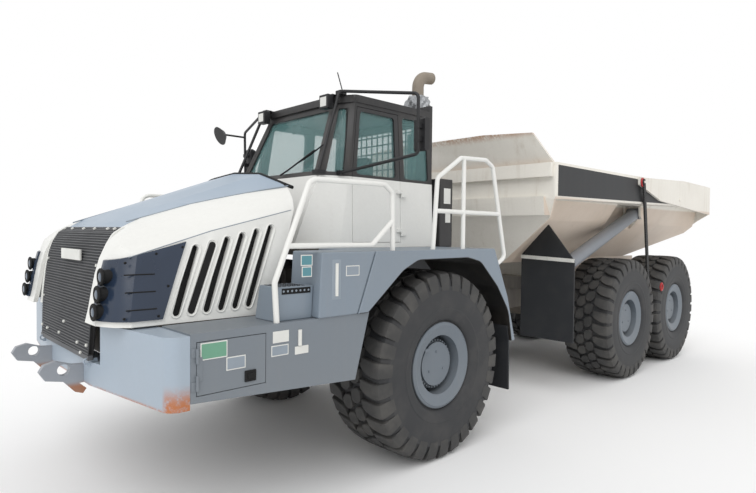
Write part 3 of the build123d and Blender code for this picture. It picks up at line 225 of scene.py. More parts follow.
def panel_paint(name, colour, dust, wear, rust, gloss, *zones):
    """Machine paint: zones of other colours, dust on upward faces and low down, streaks, chips and rust."""
    finish = Finish(name)
    cloud = finish.cloud = finish.noise(0.9)
    streak = finish.streak = finish.noise(0.35, detail=5.0, stretch=(0.25, 0.25, 3.0))
    speck = finish.speck = finish.noise(0.03, detail=6.0, roughness=0.7)
    low_down = finish.z.smooth(1.6, 0.6)
    settled = finish.facing_z.ramp(0.3, 1.0) * 0.5
    dusty = ((cloud.ramp(0.35, 0.75) * 0.5 + low_down * 0.6 + settled + streak.ramp(0.5, 0.8) * 0.5) * dust).clamp()
    base = colour
    for zone, other in zones:
        base = finish.mix(zone(finish), base, other)
    tint = finish.mix((cloud * 0.5 + speck * 0.5).ramp(0.35, 0.8) * 0.10, base, GRIME)
    dusted = finish.mix(dusty, tint, DUST)
    scuffed = finish.mix(speck.smooth(0.70, 0.78) * wear, dusted, PRIMER)
    rusty = finish.mix(streak.smooth(0.60, 0.78) * speck.smooth(0.42, 0.62) * rust, scuffed, RUST)
    finish.feed("Base Color", rusty)
    finish.feed("Roughness", (dusty * 0.5 + cloud * 0.12 + gloss).clamp())
    finish.bump(cloud * 0.6 + speck * 0.05, 0.002, 0.25)
    return finish.material


def rubber(name, colour, dirt, amount):
    """Worn rubber, with dried dust in patches and in its grooves."""
    finish = Finish(name)
    cloud = finish.noise(0.22, detail=6.0)
    grit = finish.noise(0.012, roughness=0.7)
    muddy = ((cloud.smooth(0.42, 0.72) * 0.8 + grit * 0.25) * amount).clamp()
    finish.feed("Base Color", finish.mix(muddy, colour, dirt))
    finish.feed("Roughness", (muddy * 0.25 + 0.62).clamp())
    finish.bump(grit + cloud * 0.5, 0.0015, 0.5)
    return finish.material


def plain(name, colour, roughness, metallic=0.0, grain=0.02):
    """A smooth material with a fine grain and a slight change of tone."""
    finish = Finish(name)
    cloud = finish.noise(0.3)
    fine = finish.noise(grain, detail=3.0)
    finish.feed("Base Color", finish.mix(cloud.ramp(0.3, 0.8) * 0.4, colour, tuple(0.78 * c for c in colour)))
    finish.feed("Roughness", (cloud * 0.2 + roughness - 0.1).clamp())
    finish.feed("Metallic", metallic)
    finish.bump(fine, 0.0006, 0.3)
    return finish.material


def woven_strap(name, colour):
    """Twisted black cable sleeve: slanting ribs along the strap, their crests lighter as a painted highlight."""
    finish = Finish(name)
    ribs = ((finish.x * 1.3 + finish.z * 2.2) * 60.0).math("SINE")
    # the ribs' crests up to 2.2 times lighter: painted highlight on them
    finish.feed("Base Color", finish.mix(ribs.ramp(-0.2, 1.0), colour, tuple(2.2 * c for c in colour)))
    finish.feed("Roughness", 0.7)
    finish.bump(ribs, 0.004, 0.8)
    return finish.material


def tinted_glass(name, colour, alpha):
    """Tinted pane with a faint film of dust."""
    finish = Finish(name)
    film = finish.noise(0.7, detail=2.0)
    finish.feed("Base Color", finish.mix(film.smooth(0.45, 0.8) * 0.2, colour, (0.60, 0.64, 0.62)))
    finish.feed("Roughness", 0.04)
    finish.feed("Alpha", alpha)
    return finish.material


def panel_edge(ahead):
    """Half width of the hood's top panel, which widens evenly toward the cab."""
    return (2.75 - ahead) * 0.22 + 0.65


def hood_top(finish):
    """Mask of the hood's top panel."""
    edge = panel_edge(finish.x - X_FRONT)
    return (edge - finish.y.size()).smooth(-0.003, 0.003) * finish.facing_z.smooth(0.15, 0.3)


def above_sill(finish):
    """Mask of the door's upper frame."""
    return (finish.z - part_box("cab_frame")[0].z).smooth(-0.002, 0.002)


def rail_rust(finish):
    """Mask of rust along the top edges of the guard and the rail."""
    guard_edge = finish.z.smooth(3.40, 3.50)
    rail_edge = finish.z.smooth(2.98, 3.08) * finish.facing_z.smooth(0.5, 0.8)
    return guard_edge.either(rail_edge) * (finish.cloud * 0.5 + finish.speck * 0.6).smooth(0.44, 0.62) * 0.8


def fender_underside_shade(finish):
    """Mask of the fender's faces that look toward the axle, which get a near-black painted shade under the fender."""
    outward = (finish.x - X_FRONT) * finish.facing_x + (finish.z - AXLE_HEIGHT) * finish.facing_z
    return outward.smooth(-0.05, -0.15)


def flank_dirt_and_shade(finish):
    """Mask of the dump body's sides under the rail, painted browner and darker: partly dirt on the paint, partly
    painted shade under the rail's overhang.
    """
    browned_and_shaded = (finish.cloud * 0.4 + 0.45).clamp()
    return finish.z.smooth(2.70, 2.66) * finish.facing_y.size().smooth(0.25, 0.5) * browned_and_shaded


def body_scuffs(finish):
    """Mask of darker scrapes over the dump body."""
    return (finish.streak * 0.6 + finish.cloud * 0.4).smooth(0.52, 0.72) * 0.45


def corner_rust(finish):
    """Mask of rust at the bumper's lower outer corners and along its lower edge."""
    corner = finish.z.smooth(1.24, 1.09) * finish.y.size().smooth(1.565, 1.61)
    edge = finish.z.smooth(1.075, 1.05)
    return (corner.either(edge * 0.8) * (finish.speck * 0.6 + finish.cloud * 0.5).smooth(0.40, 0.60)).clamp()


def heel_rust(finish):
    """Mask of rust on the hooked heels of the tow ears."""
    return finish.z.smooth(1.07, 1.02) * (finish.speck * 0.5 + 0.6).clamp()


def pale_patches(finish):
    """Mask of chalky rubbed patches on the bumper."""
    return (finish.cloud * 0.7 + finish.speck * 0.3).smooth(0.50, 0.66) * 0.5


def colour_setting(name, description, default):
    """A colour that the user may change."""
    return bpy.props.FloatVectorProperty(name=name, description=description, subtype="COLOR", default=default,
                                         min=0.0, max=1.0)


def length_setting(name, description, default):
    """A length that the user may change, in metres."""
    return bpy.props.FloatProperty(name=name, description=description, unit="LENGTH", default=default)


def angle_setting(name, description, default):
    """An angle that the user may change, in radians."""
    return bpy.props.FloatProperty(name=name, description=description, subtype="ANGLE", default=default)


class TruckColours(bpy.types.PropertyGroup):
    """Paint and rubber colours as the screen shows them."""

    white: colour_setting("White", "Hood, cab tub and handrails", (0.90, 0.90, 0.885))
    slate: colour_setting("Slate", "Bumper, boxes, fenders and rims", (0.50, 0.545, 0.59))
    charcoal: colour_setting("Charcoal", "Cab frame and guards", (0.13, 0.13, 0.14))
    cream: colour_setting("Cream", "Dump body", (0.91, 0.895, 0.86))
    chassis: colour_setting("Chassis", "Frames and axles", (0.30, 0.29, 0.28))
    tread: colour_setting("Rubber", "Tyres", (0.17, 0.175, 0.185))


class TruckCamera(bpy.types.PropertyGroup):
    """Where the photograph was taken from."""

    ahead: length_setting("Ahead", "Camera ahead of the front axle", 4.231)
    side: length_setting("Side", "Camera to the left of the middle", 5.059)
    height: length_setting("Height", "Camera above the ground", 2.221)
    heading: angle_setting("Heading", "Direction of view from +X", -2.340)
    pitch: angle_setting("Pitch", "Tilt of the view above level", -0.026)
    roll: angle_setting("Roll", "Turn of the picture", 0.011)
    lens: bpy.props.FloatProperty(name="Lens", description="Focal length on a 36 mm wide sensor, in millimetres",
                                  default=26.49)


def finishes(colours):
    """Every material slot of the record with its finish, and the finishes of single pieces. After a paint's colour
    come its dust, wear, rust, gloss and zones; after a rubber's, its dirt and how much of it; after the glass's, its
    alpha; after a plain one's, its roughness, metal and grain."""
    table = {
        "chassis_paint": (panel_paint, colours.chassis, 0.4, 0.4, 0.15, 0.6),
        "slate_paint": (panel_paint, colours.slate, 0.10, 0.2, 0.03, 0.38),
        "box_paint": (panel_paint, (0.46, 0.49, 0.52), 0.08, 0.25, 0.03, 0.38),
        # the fender's faces toward the axle take near-black painted shade
        "fender_paint": (panel_paint, colours.slate, 0.10, 0.2, 0.0, 0.38, (fender_underside_shade, (0.05, 0.05, 0.055))),
        "rim_paint": (panel_paint, (0.40, 0.44, 0.48), 0.10, 0.3, 0.05, 0.38),
        "bumper_paint": (panel_paint, (0.63, 0.68, 0.73), 0.05, 0.35, 0.0, 0.38,
                         (pale_patches, (0.74, 0.78, 0.82)), (corner_rust, (0.70, 0.42, 0.24))),
        "ear_paint": (panel_paint, (0.58, 0.60, 0.63), 0.1, 0.4, 0.0, 0.38, (heel_rust, (0.62, 0.38, 0.20))),
        "white_paint": (panel_paint, colours.white, 0.05, 0.15, 0.02, 0.3),
        "hood_paint": (panel_paint, colours.white, 0.03, 0.10, 0.01, 0.28, (hood_top, (0.57, 0.64, 0.71))),
        "charcoal_paint": (panel_paint, colours.charcoal, 0.08, 0.12, 0.0, 0.35),
        "door_paint": (panel_paint, colours.white, 0.05, 0.12, 0.0, 0.32, (above_sill, colours.charcoal)),
        # flanks under the rail: dirt, and painted shade of the rail's overhang
        "cream_paint": (panel_paint, colours.cream, 0.10, 0.25, 0.08, 0.45, (flank_dirt_and_shade, (0.80, 0.71, 0.63)),
                        (body_scuffs, (0.80, 0.76, 0.70)), (rail_rust, (0.68, 0.47, 0.30))),
        "grey_paint": (panel_paint, (0.50, 0.52, 0.55), 0.15, 0.2, 0.0, 0.4),
        "rusty_steel": (panel_paint, (0.42, 0.36, 0.33), 0.3, 0.7, 1.0, 0.6),
        "hot_steel": (panel_paint, (0.52, 0.48, 0.43), 0.3, 0.6, 0.5, 0.5),
        "body_panel_black": (panel_paint, (0.125, 0.135, 0.15), 0.05, 0.25, 0.0, 0.5),
        "flap_rubber": (rubber, (0.12, 0.13, 0.145), (0.24, 0.24, 0.24), 0.3),
        "tread_rubber": (rubber, colours.tread, (0.31, 0.305, 0.30), 0.45),
        "worn_tread": (rubber, (0.205, 0.205, 0.205), (0.38, 0.37, 0.355), 0.5),
        "strap_web": (woven_strap, (0.10, 0.10, 0.10)),
        "tinted_glass": (tinted_glass, (0.47, 0.64, 0.64), 0.27),
        "cast_block": (plain, (0.2, 0.2, 0.2), 0.7),
        "hub_ring": (plain, (0.17, 0.19, 0.21), 0.55),
        "lamp_blue": (plain, (0.155, 0.205, 0.28), 0.25),
        "lamp_lens": (plain, (0.36, 0.41, 0.47), 0.06),
        "rod_chrome": (plain, (0.75, 0.75, 0.76), 0.15, 1.0),
        "dark_plastic": (plain, (0.10, 0.10, 0.11), 0.5),
        "seat_fabric": (plain, (0.14, 0.14, 0.15), 0.9, 0.0, 0.004),
        "blank_white": (plain, (0.88, 0.88, 0.86), 0.45),
        "blank_green": (plain, (0.42, 0.62, 0.52), 0.45),
        "blank_teal": (plain, (0.35, 0.56, 0.60), 0.45),
        "blank_grey": (plain, (0.56, 0.60, 0.64), 0.4),
        # near black: dark parts such as the latch, and painted shade in slots, grooves, step holes and behind the
        # grille
        "gap_black": (plain, (0.035, 0.035, 0.04), 0.8),
        "zinc": (plain, (0.62, 0.63, 0.64), 0.4, 0.4),
        "shackle_red": (plain, (0.70, 0.16, 0.17), 0.45),
        "grille_mesh": (plain, (0.33, 0.335, 0.345), 0.5),
    }
    return {name: make(name, *values) for name, (make, *values) in table.items()}


def points(x, y, z):
    """Points from their coordinates, where numbers and arrays may be mixed."""
    return np.stack(np.broadcast_arrays(x, y, z), axis=-1)


def at(ahead, y, z):
    """Points of the tractor, their place along X measured forward from the front axle."""
    return points(X_FRONT + ahead, y, z)


def turns(count):
    """Equal steps once round, in radians."""
    return np.arange(count) * FULL_TURN / count


def across_of(direction, spare):
    """Two unit arrows square to each other and to each direction, found from the upright or, for steep directions,
    from a spare arrow."""
    steep = np.abs(direction[..., 2]).max() > STEEP
    first = np.cross(direction, spare if steep else UPRIGHT)
    first /= np.linalg.norm(first, axis=-1, keepdims=True)
    return first, np.cross(direction, first)


class Form:
    """Points and faces gathered from numpy grids and outlines, then made into one closed mesh."""

    def __init__(self):
        self.points = []
        self.faces = []
        self.count = 0

    def add(self, places, faces):
        """Points with faces that count from the first of them."""
        self.points.append(np.asarray(places, dtype=float).reshape(-1, 3))
        self.faces += [tuple(int(i) + self.count for i in face) for face in faces]
        self.count += len(self.points[-1])

    def grid(self, places, close_u=False, close_v=False):
        """A surface whose points are a (u, v, 3) array; either way round may close on itself."""
        rows, columns = places.shape[:2]
        u = np.arange(rows if close_u else rows - 1)[:, None] * columns
        v = np.arange(columns if close_v else columns - 1)[None, :]
        after_u, after_v = (u + columns) % (rows * columns), (v + 1) % columns
        self.add(places, np.stack([u + v, after_u + v, after_u + after_v, u + after_v], axis=-1).reshape(-1, 4))

    def bar(self, sections):
        """A closed bar: a (stations, corners, 3) array of its sections, joined round and along, with flat ends."""
        self.grid(sections, close_v=True)
        for end in (sections[0], sections[-1]):
            self.add(end, [range(len(end))])

    def tube(self, path, radius, sides=10, closed=False):
        """Round tube: a ring of the radius at each point of the path, across the path's direction there. An open
        tube's ends close on their middles."""
        path = np.asarray(path, dtype=float)
        ahead = np.roll(path, -1, 0) - np.roll(path, 1, 0) if closed else np.gradient(path, axis=0)
        ahead /= np.linalg.norm(ahead, axis=1, keepdims=True)
        first, second = across_of(ahead, SLANTING)
        turn = turns(sides)[None, :, None]
        rings = path[:, None] + radius * (np.cos(turn) * first[:, None] + np.sin(turn) * second[:, None])
        if not closed:
            rings = np.concatenate([np.repeat(path[:1, None], sides, 1), rings, np.repeat(path[-1:, None], sides, 1)])
        self.grid(rings, close_u=closed, close_v=True)

    def prism(self, outline, push):
        """Straight prism: a flat outline and its copy moved by push, joined by side faces."""
        low = np.asarray(outline, dtype=float)
        self.bar(np.stack([low, low + np.asarray(push)]))

    def slab(self, low, high):
        """Box between two corners."""
        (x0, y0, z0), (x1, y1, z1) = low, high
        self.prism([(x0, y0, z0), (x1, y0, z0), (x1, y1, z0), (x0, y1, z0)], (0, 0, z1 - z0))

    def revolved(self, profile, centre, side, steps=96):
        """Surface of revolution about an axis along Y: each (offset, radius) of the profile swept round it."""
        offset, radius = np.asarray(profile, dtype=float).T
        turn = turns(steps)[:, None]
        self.grid(points(centre[0] + radius * np.sin(turn), centre[1] + side * offset,
                         centre[2] + radius * np.cos(turn)), close_u=True, close_v=True)

    def heads(self, places, normal, across, height):
        """Six-sided bolt heads: two rings of six points and a smaller top ring, along the normal at each place."""
        normal = np.asarray(normal, dtype=float) / np.linalg.norm(normal)
        first, second = across_of(normal, FORWARD)
        turn = turns(6)[:, None]
        ring = (np.cos(turn) * first + np.sin(turn) * second) * across
        rings = np.stack([ring / 2 - normal * 0.004, ring / 2 + normal * height * 0.75, ring * 0.4 + normal * height])
        for place in np.asarray(places, dtype=float).reshape(-1, 3):
            self.bar(place + rings)

    def piece(self, name, body, finish, slot=None, replaces=(), smooth=35.0, bevel=0.0):
        """The gathered faces as one object that rides on a body, its doubles merged and its faces outward."""
        mesh = bpy.data.meshes.new(name)
        mesh.from_pydata(np.concatenate(self.points).tolist(), [], self.faces)
        return finish_piece(mesh, name, body, finish, replaces, smooth, bevel)


def finish_piece(mesh, name, body, finish, replaces, smooth, bevel, fresh=True, join=False):
    """Merges a mesh's doubles, smooths it, gives it its finish and lets it ride on its body. A fresh form has its
    faces turned outward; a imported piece's copy already has them so, and may have its flat triangles joined."""
    work = bmesh.new()
    work.from_mesh(mesh)
    bmesh.ops.remove_doubles(work, verts=work.verts, dist=WELD)
    if fresh:
        bmesh.ops.recalc_face_normals(work, faces=work.faces)
    if join:
        bmesh.ops.dissolve_limit(work, angle_limit=FLAT_ANGLE, verts=work.verts, edges=work.edges)
    work.to_mesh(mesh)
    work.free()
    mesh.polygons.foreach_set("use_smooth", [True] * len(mesh.polygons))
    mesh.set_sharp_from_angle(angle=math.radians(smooth))
    piece = bpy.data.objects.new(name, mesh)
    bpy.context.scene.collection.objects.link(piece)
    mesh.materials.clear()
    mesh.materials.append(MADE[finish])
    if bevel:
        edge = piece.modifiers.new("soft edges", "BEVEL")
        edge.width = bevel
        edge.segments = 2
        edge.limit_method = "ANGLE"
        edge.angle_limit = EDGE_ANGLE
        edge.harden_normals = True
    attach(piece, body)
    if replaces:
        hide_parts(*replaces)
    return piece


MADE = {}
WELD = 1e-5
FLAT_ANGLE = math.radians(0.4)
EDGE_ANGLE = math.radians(32)
BODY_OF = {node: body for body, held in frame["record"]["behaviour"]["bodies"].items() for node in held}
SLOT_OF = {part["node"]: part["material_slot"] for part in frame["record"]["subparts"]}
FINISH_OF = {**SLOT_OF, "bumper": "bumper_paint", "tow_hooks": "ear_paint", "side_boxes": "box_paint",
             "box_door": "box_paint", "fenders": "fender_paint", "hood": "hood_paint", "cab_door": "door_paint",
             **{f"rim_{axle}_{side}": "rim_paint" for axle in AXLES for side in SIDES}}


class TRUCK_OT_paint(bpy.types.Operator):
    """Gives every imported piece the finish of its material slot."""

    bl_idname = "truck.paint"
    bl_label = "Paint the pieces"

    def execute(self, context):
        MADE.update(finishes(context.scene.truck_colours))
        for node, finish in FINISH_OF.items():
            nodes[node].data.materials.clear()
            nodes[node].data.materials.append(MADE[finish])
        return {"FINISHED"}


# node, width of its softened edges in metres, greatest angle that is smoothed in degrees, whether its flat
# triangles are joined first
SOFTENED = (
    ("bumper", 0.012, 32, True), ("tow_hooks", 0.004, 35, True), ("side_boxes", 0.008, 32, True),
    ("box_door", 0.002, 32, True), ("tanks", 0.014, 32, True), ("fenders", 0.008, 32, True),
    ("steps", 0.008, 32, True), ("front_flaps", 0.004, 32, True), ("hood", 0.006, 42, False),
    ("lamp_panels", 0.003, 40, False), ("cab_tub", 0.008, 32, True), ("cab_frame", 0.006, 32, False),
    ("cab_door", 0.004, 32, True), ("cabinet", 0.012, 32, True), ("work_lamps", 0.008, 32, True),
    ("deck", 0.006, 32, True), ("bed", 0.008, 32, False), ("tailgate", 0.006, 32, True),
    ("rear_frame", 0.006, 32, True), ("front_frame", 0.005, 32, True), ("hitch", 0.005, 32, True),
    ("walking_beams", 0.008, 32, True), ("mid_flaps", 0.004, 32, True),
)


class TRUCK_OT_soften(bpy.types.Operator):
    """Rounds the edges of the sheet-metal pieces, as folded and welded plate has."""

    bl_idname = "truck.soften"
    bl_label = "Soften the plates' edges"

    def execute(self, context):
        for node, width, angle, join in SOFTENED:
            name = f"{node}_form"
            mesh = nodes[node].data.copy()
            mesh.name = name
            finish_piece(mesh, name, BODY_OF[node], FINISH_OF[node], (node,), angle, width,
                         fresh=False, join=join)
        return {"FINISHED"}


def wheels():
    """Each wheel's name, side, centre and body."""
    for axle, x in AXLES.items():
        for side_name, side in SIDES.items():
            name = f"{axle}_{side_name}"
            yield name, side, (x, side * Y_WHEEL, AXLE_HEIGHT), BODY_OF[f"tyre_{name}"]


# half of the tyre's section: offset from the middle and radius, from the bead round to the crown
CARCASS = ((0.285, 0.3412), (0.300, 0.36), (0.306, 0.40), (0.298, 0.433), (0.318, 0.446), (0.336, 0.466),
           (0.345, 0.50), (0.3505, 0.535), (0.3545, 0.548), (0.3545, 0.556), (0.352, 0.562), (0.356, 0.60),
           (0.3585, 0.64), (0.3595, 0.68), (0.358, 0.72), (0.3545, 0.75), (0.3575, 0.758), (0.3565, 0.772),
           (0.349, 0.782), (0.343, 0.81), (0.335, 0.84), (0.322, 0.862), (0.30, 0.872), (0.24, 0.879), (0.12, 0.883))
CROWN_RADIUS = 0.872
LUGS = 30
LUG_BEVEL = 0.008
LUG_SPREAD = 1.06
CROWN_PHASE = 0.42
# along a row's blocks: offset, radius of the top, then width and lead as shares of the pitch
SHOULDER_LUG = np.array([(0.136, 0.9245, 0.46, -0.22), (0.165, 0.924, 0.60, -0.14), (0.205, 0.922, 0.68, -0.06),
                         (0.262, 0.918, 0.72, 0.02), (0.310, 0.912, 0.73, 0.05), (0.338, 0.898, 0.73, 0.05),
                         (0.3505, 0.868, 0.72, 0.05), (0.3575, 0.825, 0.70, 0.05), (0.3580, 0.786, 0.66, 0.05)])
CROWN_BLOCK = np.array([(0.006, 0.9245, 0.48, 0.10), (0.036, 0.925, 0.78, 0.06), (0.088, 0.925, 0.80, 0.0),
                        (0.126, 0.9245, 0.46, -0.06)])


def tread_blocks(form, table, centre, side, phase, flip):
    """Blocks round the tyre: a six-point section (foot, flank, bevelled top and back down) is carried along the
    table's offsets, and the whole is turned by equal steps about the axle."""
    pitch = FULL_TURN / LUGS
    offset, top, width, lead = table.T
    lead = lead * pitch * flip
    half = width * pitch / 2
    foot = np.minimum(top - 0.05, CROWN_RADIUS)
    section_turn = np.stack([lead - half * LUG_SPREAD, lead - half, lead - half + LUG_BEVEL, lead + half - LUG_BEVEL,
                             lead + half, lead + half * LUG_SPREAD], axis=1)
    radius = np.stack([foot, top - LUG_BEVEL, top, top, top - LUG_BEVEL, foot], axis=1)
    for block in range(LUGS):
        turn = section_turn + (block + phase) * pitch
        form.bar(points(centre[0] + radius * np.sin(turn), centre[1] + side * offset[:, None],
                        centre[2] + radius * np.cos(turn)))


class TRUCK_OT_tyres(bpy.types.Operator):
    """Makes the six tyres: smooth walls with raised rings, shoulder lugs and two rows of crown blocks."""

    bl_idname = "truck.tyres"
    bl_label = "Make the tyres"

    def execute(self, context):
        section = list(CARCASS) + [(-offset, radius) for offset, radius in reversed(CARCASS)]
        for name, side, centre, body in wheels():
            form, blocks = Form(), Form()
            form.revolved(section, centre, side, steps=120)
            for half, phase in ((1, 0.0), (-1, 0.5)):
                tread_blocks(blocks, SHOULDER_LUG, centre, side * half, phase, half)
                tread_blocks(blocks, CROWN_BLOCK, centre, side * half, phase + CROWN_PHASE, half)
            node = f"tyre_{name}"
            form.piece(f"{node}_carcass", body, "tread_rubber", replaces=(node,), smooth=28)
            blocks.piece(f"{node}_tread", body, "worn_tread", slot="tread_rubber", smooth=28)
        return {"FINISHED"}


# sections of the hub's flange and of the rim's lock ring: offset from the wheel's middle and radius
HUB_FLANGE = ((0.195, 0.2300), (0.195, 0.2480), (0.214, 0.2480), (0.217, 0.2445), (0.217, 0.2175), (0.212, 0.2165),
              (0.2075, 0.2300))
LOCK_RING = ((0.302, 0.385), (0.309, 0.392), (0.318, 0.392), (0.323, 0.384), (0.318, 0.376), (0.309, 0.376))
# rings of bolts: how many, radius of the ring, offset, width across and height of a head
HUB_BOLTS = ((36, 0.2325, 0.217, 0.020, 0.012), (3, 0.12, 0.245, 0.026, 0.008))


class TRUCK_OT_hubs(bpy.types.Operator):
    """Makes the bolted flange, the hub's bolts, the lock ring and the valve guard of each rim."""

    bl_idname = "truck.hubs"
    bl_label = "Make the hub details"

    def execute(self, context):
        for name, side, (x, y, z), body in wheels():
            ring, bolts = Form(), Form()
            ring.revolved(HUB_FLANGE, (x, y, z), side)
            ring.piece(f"hub_ring_{name}", body, "hub_ring", slot="slate_paint", smooth=30)
            for count, radius, offset, across, height in HUB_BOLTS:
                turn = turns(count)
                bolts.heads(points(x + radius * np.sin(turn), y + side * offset, z + radius * np.cos(turn)),
                            (0, side, 0), across, height)
            bolts.revolved(LOCK_RING, (x, y, z), side)
            bolts.slab((x + 0.160, y + side * 0.225, z + 0.151), (x + 0.220, y + side * 0.293, z + 0.179))
            bolts.piece(f"hub_bolts_{name}", body, "rim_paint", slot="slate_paint", smooth=30)
        return {"FINISHED"}


# the hood's side: distance ahead of the front axle, half width at the base, then half width and level of the crease
HOOD_SIDE = np.array([(1.32, 1.240, 1.160, 2.440), (2.20, 1.200, 1.130, 2.215), (2.80, 1.192, 1.110, 2.025),
                      (2.99, 1.190, 1.090, 1.975)])
HOOD_BASE = 1.55
# the hood's crown: distance ahead, then half width and level at its edge, quarter and middle
HOOD_CROWN = np.array([(1.32, 0.900, 2.650, 0.480, 2.775, 2.810), (2.20, 0.850, 2.420, 0.450, 2.462, 2.472),
                       (2.80, 0.750, 2.220, 0.400, 2.255, 2.262)])
SLOTS = 6
LIP_HALF = 0.038
LIP_RADIUS = 0.0065
# half width of the dark plate of painted shade over the closed slot
SHADE_PLATE_HALF = 0.0265
SCREEN_FOOT = 1.570
HOOD_REAR = 1.36


def hood_values(table, ahead):
    """The table's columns at a place along the hood, straight between its stations."""
    return [np.interp(ahead, table[:, 0], column) for column in table[:, 1:].T]


def hood_side(ahead, z):
    """Half width of the hood at a place and level: straight from the base to the crease."""
    base, crease, level = hood_values(HOOD_SIDE, ahead)
    return base + (crease - base) * (z - HOOD_BASE) / (level - HOOD_BASE)


def on_hood_side(side, ahead, z, out):
    """Points on one side of the hood, moved outward by out."""
    return at(ahead, side * (hood_side(ahead, z) + out), z)


def hood_crown(ahead, y):
    """Level of the hood's top: straight lines from its middle to the quarter and on to the edge."""
    edge_y, edge_z, quarter_y, quarter_z, middle_z = hood_values(HOOD_CROWN, ahead)
    inner = middle_z + (quarter_z - middle_z) * y / quarter_y
    outer = quarter_z + (edge_z - quarter_z) * (y - quarter_y) / (edge_y - quarter_y)
    return np.where(y < quarter_y, inner, outer)


def capsule(foot, top, radius):
    """Closed outline round two points, as its places ahead and levels: a half circle about each, joined by straight
    sides."""
    lean = math.atan2(top[1] - foot[1], top[0] - foot[0]) + np.linspace(-np.pi / 2, np.pi / 2, 9)
    arc = radius * np.stack([np.cos(lean), np.sin(lean)])
    return np.concatenate([np.array(top)[:, None] + arc, np.array(foot)[:, None] - arc], axis=1)


class TRUCK_OT_hood(bpy.types.Operator):
    """Makes the hood's pressed slot lips, the dark screen behind them, which is painted shade inside the open slots,
    a dark plate of painted shade where the slot that is closed in the solids would open, the groove round its top
    panel and the crease's groove, drawn as grey lines of painted shade, and its rear gasket."""

    bl_idname = "truck.hood"
    bl_label = "Make the hood's trim"

    def execute(self, context):
        for side_name, side in SIDES.items():
            lips, shade_plate, screen, groove = Form(), Form(), Form(), Form()
            for share in np.linspace(0.0, 1.0, SLOTS):
                outline = capsule((2.499 - 0.583 * share, 1.625 + 0.020 * share),
                                  (2.321 - 0.640 * share, 2.080 + 0.160 * share), LIP_HALF)
                lips.tube(on_hood_side(side, *outline, 0.001), LIP_RADIUS, sides=8, closed=True)
            # a dark plate where the solids close a slot: painted shade of the slot's opening
            outline = capsule((2.3824, 1.633), (2.193, 2.108), SHADE_PLATE_HALF)
            shade_plate.prism(on_hood_side(side, *outline, -0.004), (0, side * 0.0055, 0))
            # a dark sheet behind the slots: painted shade inside them
            ahead = np.linspace(2.575, 1.60, 14)
            crest = np.minimum(2.31, hood_values(HOOD_SIDE, ahead)[2] - 0.01)
            corners = ((-0.045, SCREEN_FOOT), (-0.045, crest), (-0.052, crest), (-0.052, SCREEN_FOOT))
            screen.bar(np.stack([on_hood_side(side, ahead, z, out) for out, z in corners], axis=1))
            # grey tubes along the top panel's edge and the crease stand for their grooves: the grey is painted shade
            # in them
            ahead = np.linspace(2.66, HOOD_REAR, 24)
            edge = panel_edge(ahead)
            groove.tube(at(ahead, side * edge, hood_crown(ahead, edge) + 0.001), 0.006, sides=6)
            ahead = np.linspace(2.80, 1.48, 12)
            groove.tube(on_hood_side(side, ahead, hood_values(HOOD_SIDE, ahead)[2], -0.0015), 0.004, sides=6)
            shade_plate.piece(f"slot_shade_plate_{side_name}", "hood", "gap_black", slot="dark_plastic")
            lips.piece(f"slot_lips_{side_name}", "hood", "hood_paint", slot="white_paint", smooth=60)
            screen.piece(f"slot_shade_screen_{side_name}", "hood", "gap_black", slot="dark_plastic", smooth=60)
            groove.piece(f"hood_groove_{side_name}", "hood", "blank_grey", slot="slate_paint")
        seal = Form()
        across = np.linspace(-1.0, 1.0, 25)
        seal.tube(at(HOOD_REAR, across, hood_crown(HOOD_REAR, np.abs(across)) - 0.004), 0.016, sides=8)
        seal.piece("hood_rear_seal", "hood", "gap_black", slot="dark_plastic")
        return {"FINISHED"}


# the grille's side profile: distance ahead of the front axle and level
GRILLE_LINE = np.array([(2.930, 1.250), (2.918, 1.520), (2.903, 1.690), (2.882, 1.860), (2.855, 2.010), (2.822, 2.110),
                        (2.775, 2.190), (2.700, 2.242)])
GRILLE_HALF = 0.738
STRIP_FOOT = 1.53
# across and level of the grille's fasteners, and across of those on its upper edge
GRILLE_STUDS = np.array([(-0.66, 1.95), (-0.65, 1.62), (-0.62, 1.36), (0.66, 1.95), (0.65, 1.62), (0.62, 1.36),
                         (0.03, 1.466), (-0.09, 1.36), (0.40, 1.35), (0.49, 1.285), (-0.45, 1.35)])
EDGE_STUDS = np.array([-0.41, -0.09, 0.19, 0.50, 0.65, -0.65])
STUD = (0.026, 0.010)


def along_grille(steps, inset=0.0):
    """Points at equal steps up the grille's profile, moved back by an inset, and down too where it curls over."""
    run = np.concatenate([[0.0], np.cumsum(np.linalg.norm(np.diff(GRILLE_LINE, axis=0), axis=1))])
    ahead, level = [np.interp(np.linspace(0.0, run[-1], steps), run, column) for column in GRILLE_LINE.T]
    return ahead - inset, level - inset * np.clip((level - 2.0) / 0.24, 0, 1)


def grille_half_width(level):
    """Half width of the mesh at a level: it narrows toward its foot."""
    return np.interp(level, (1.25, 1.55, 2.05), (0.645, 0.672, 0.712))


def grille_sections(corners):
    """Sections of a bar that runs up the grille: each corner is a line up the profile with its place across."""
    return np.stack([at(ahead, y, level) for (ahead, level), y in corners], axis=1)


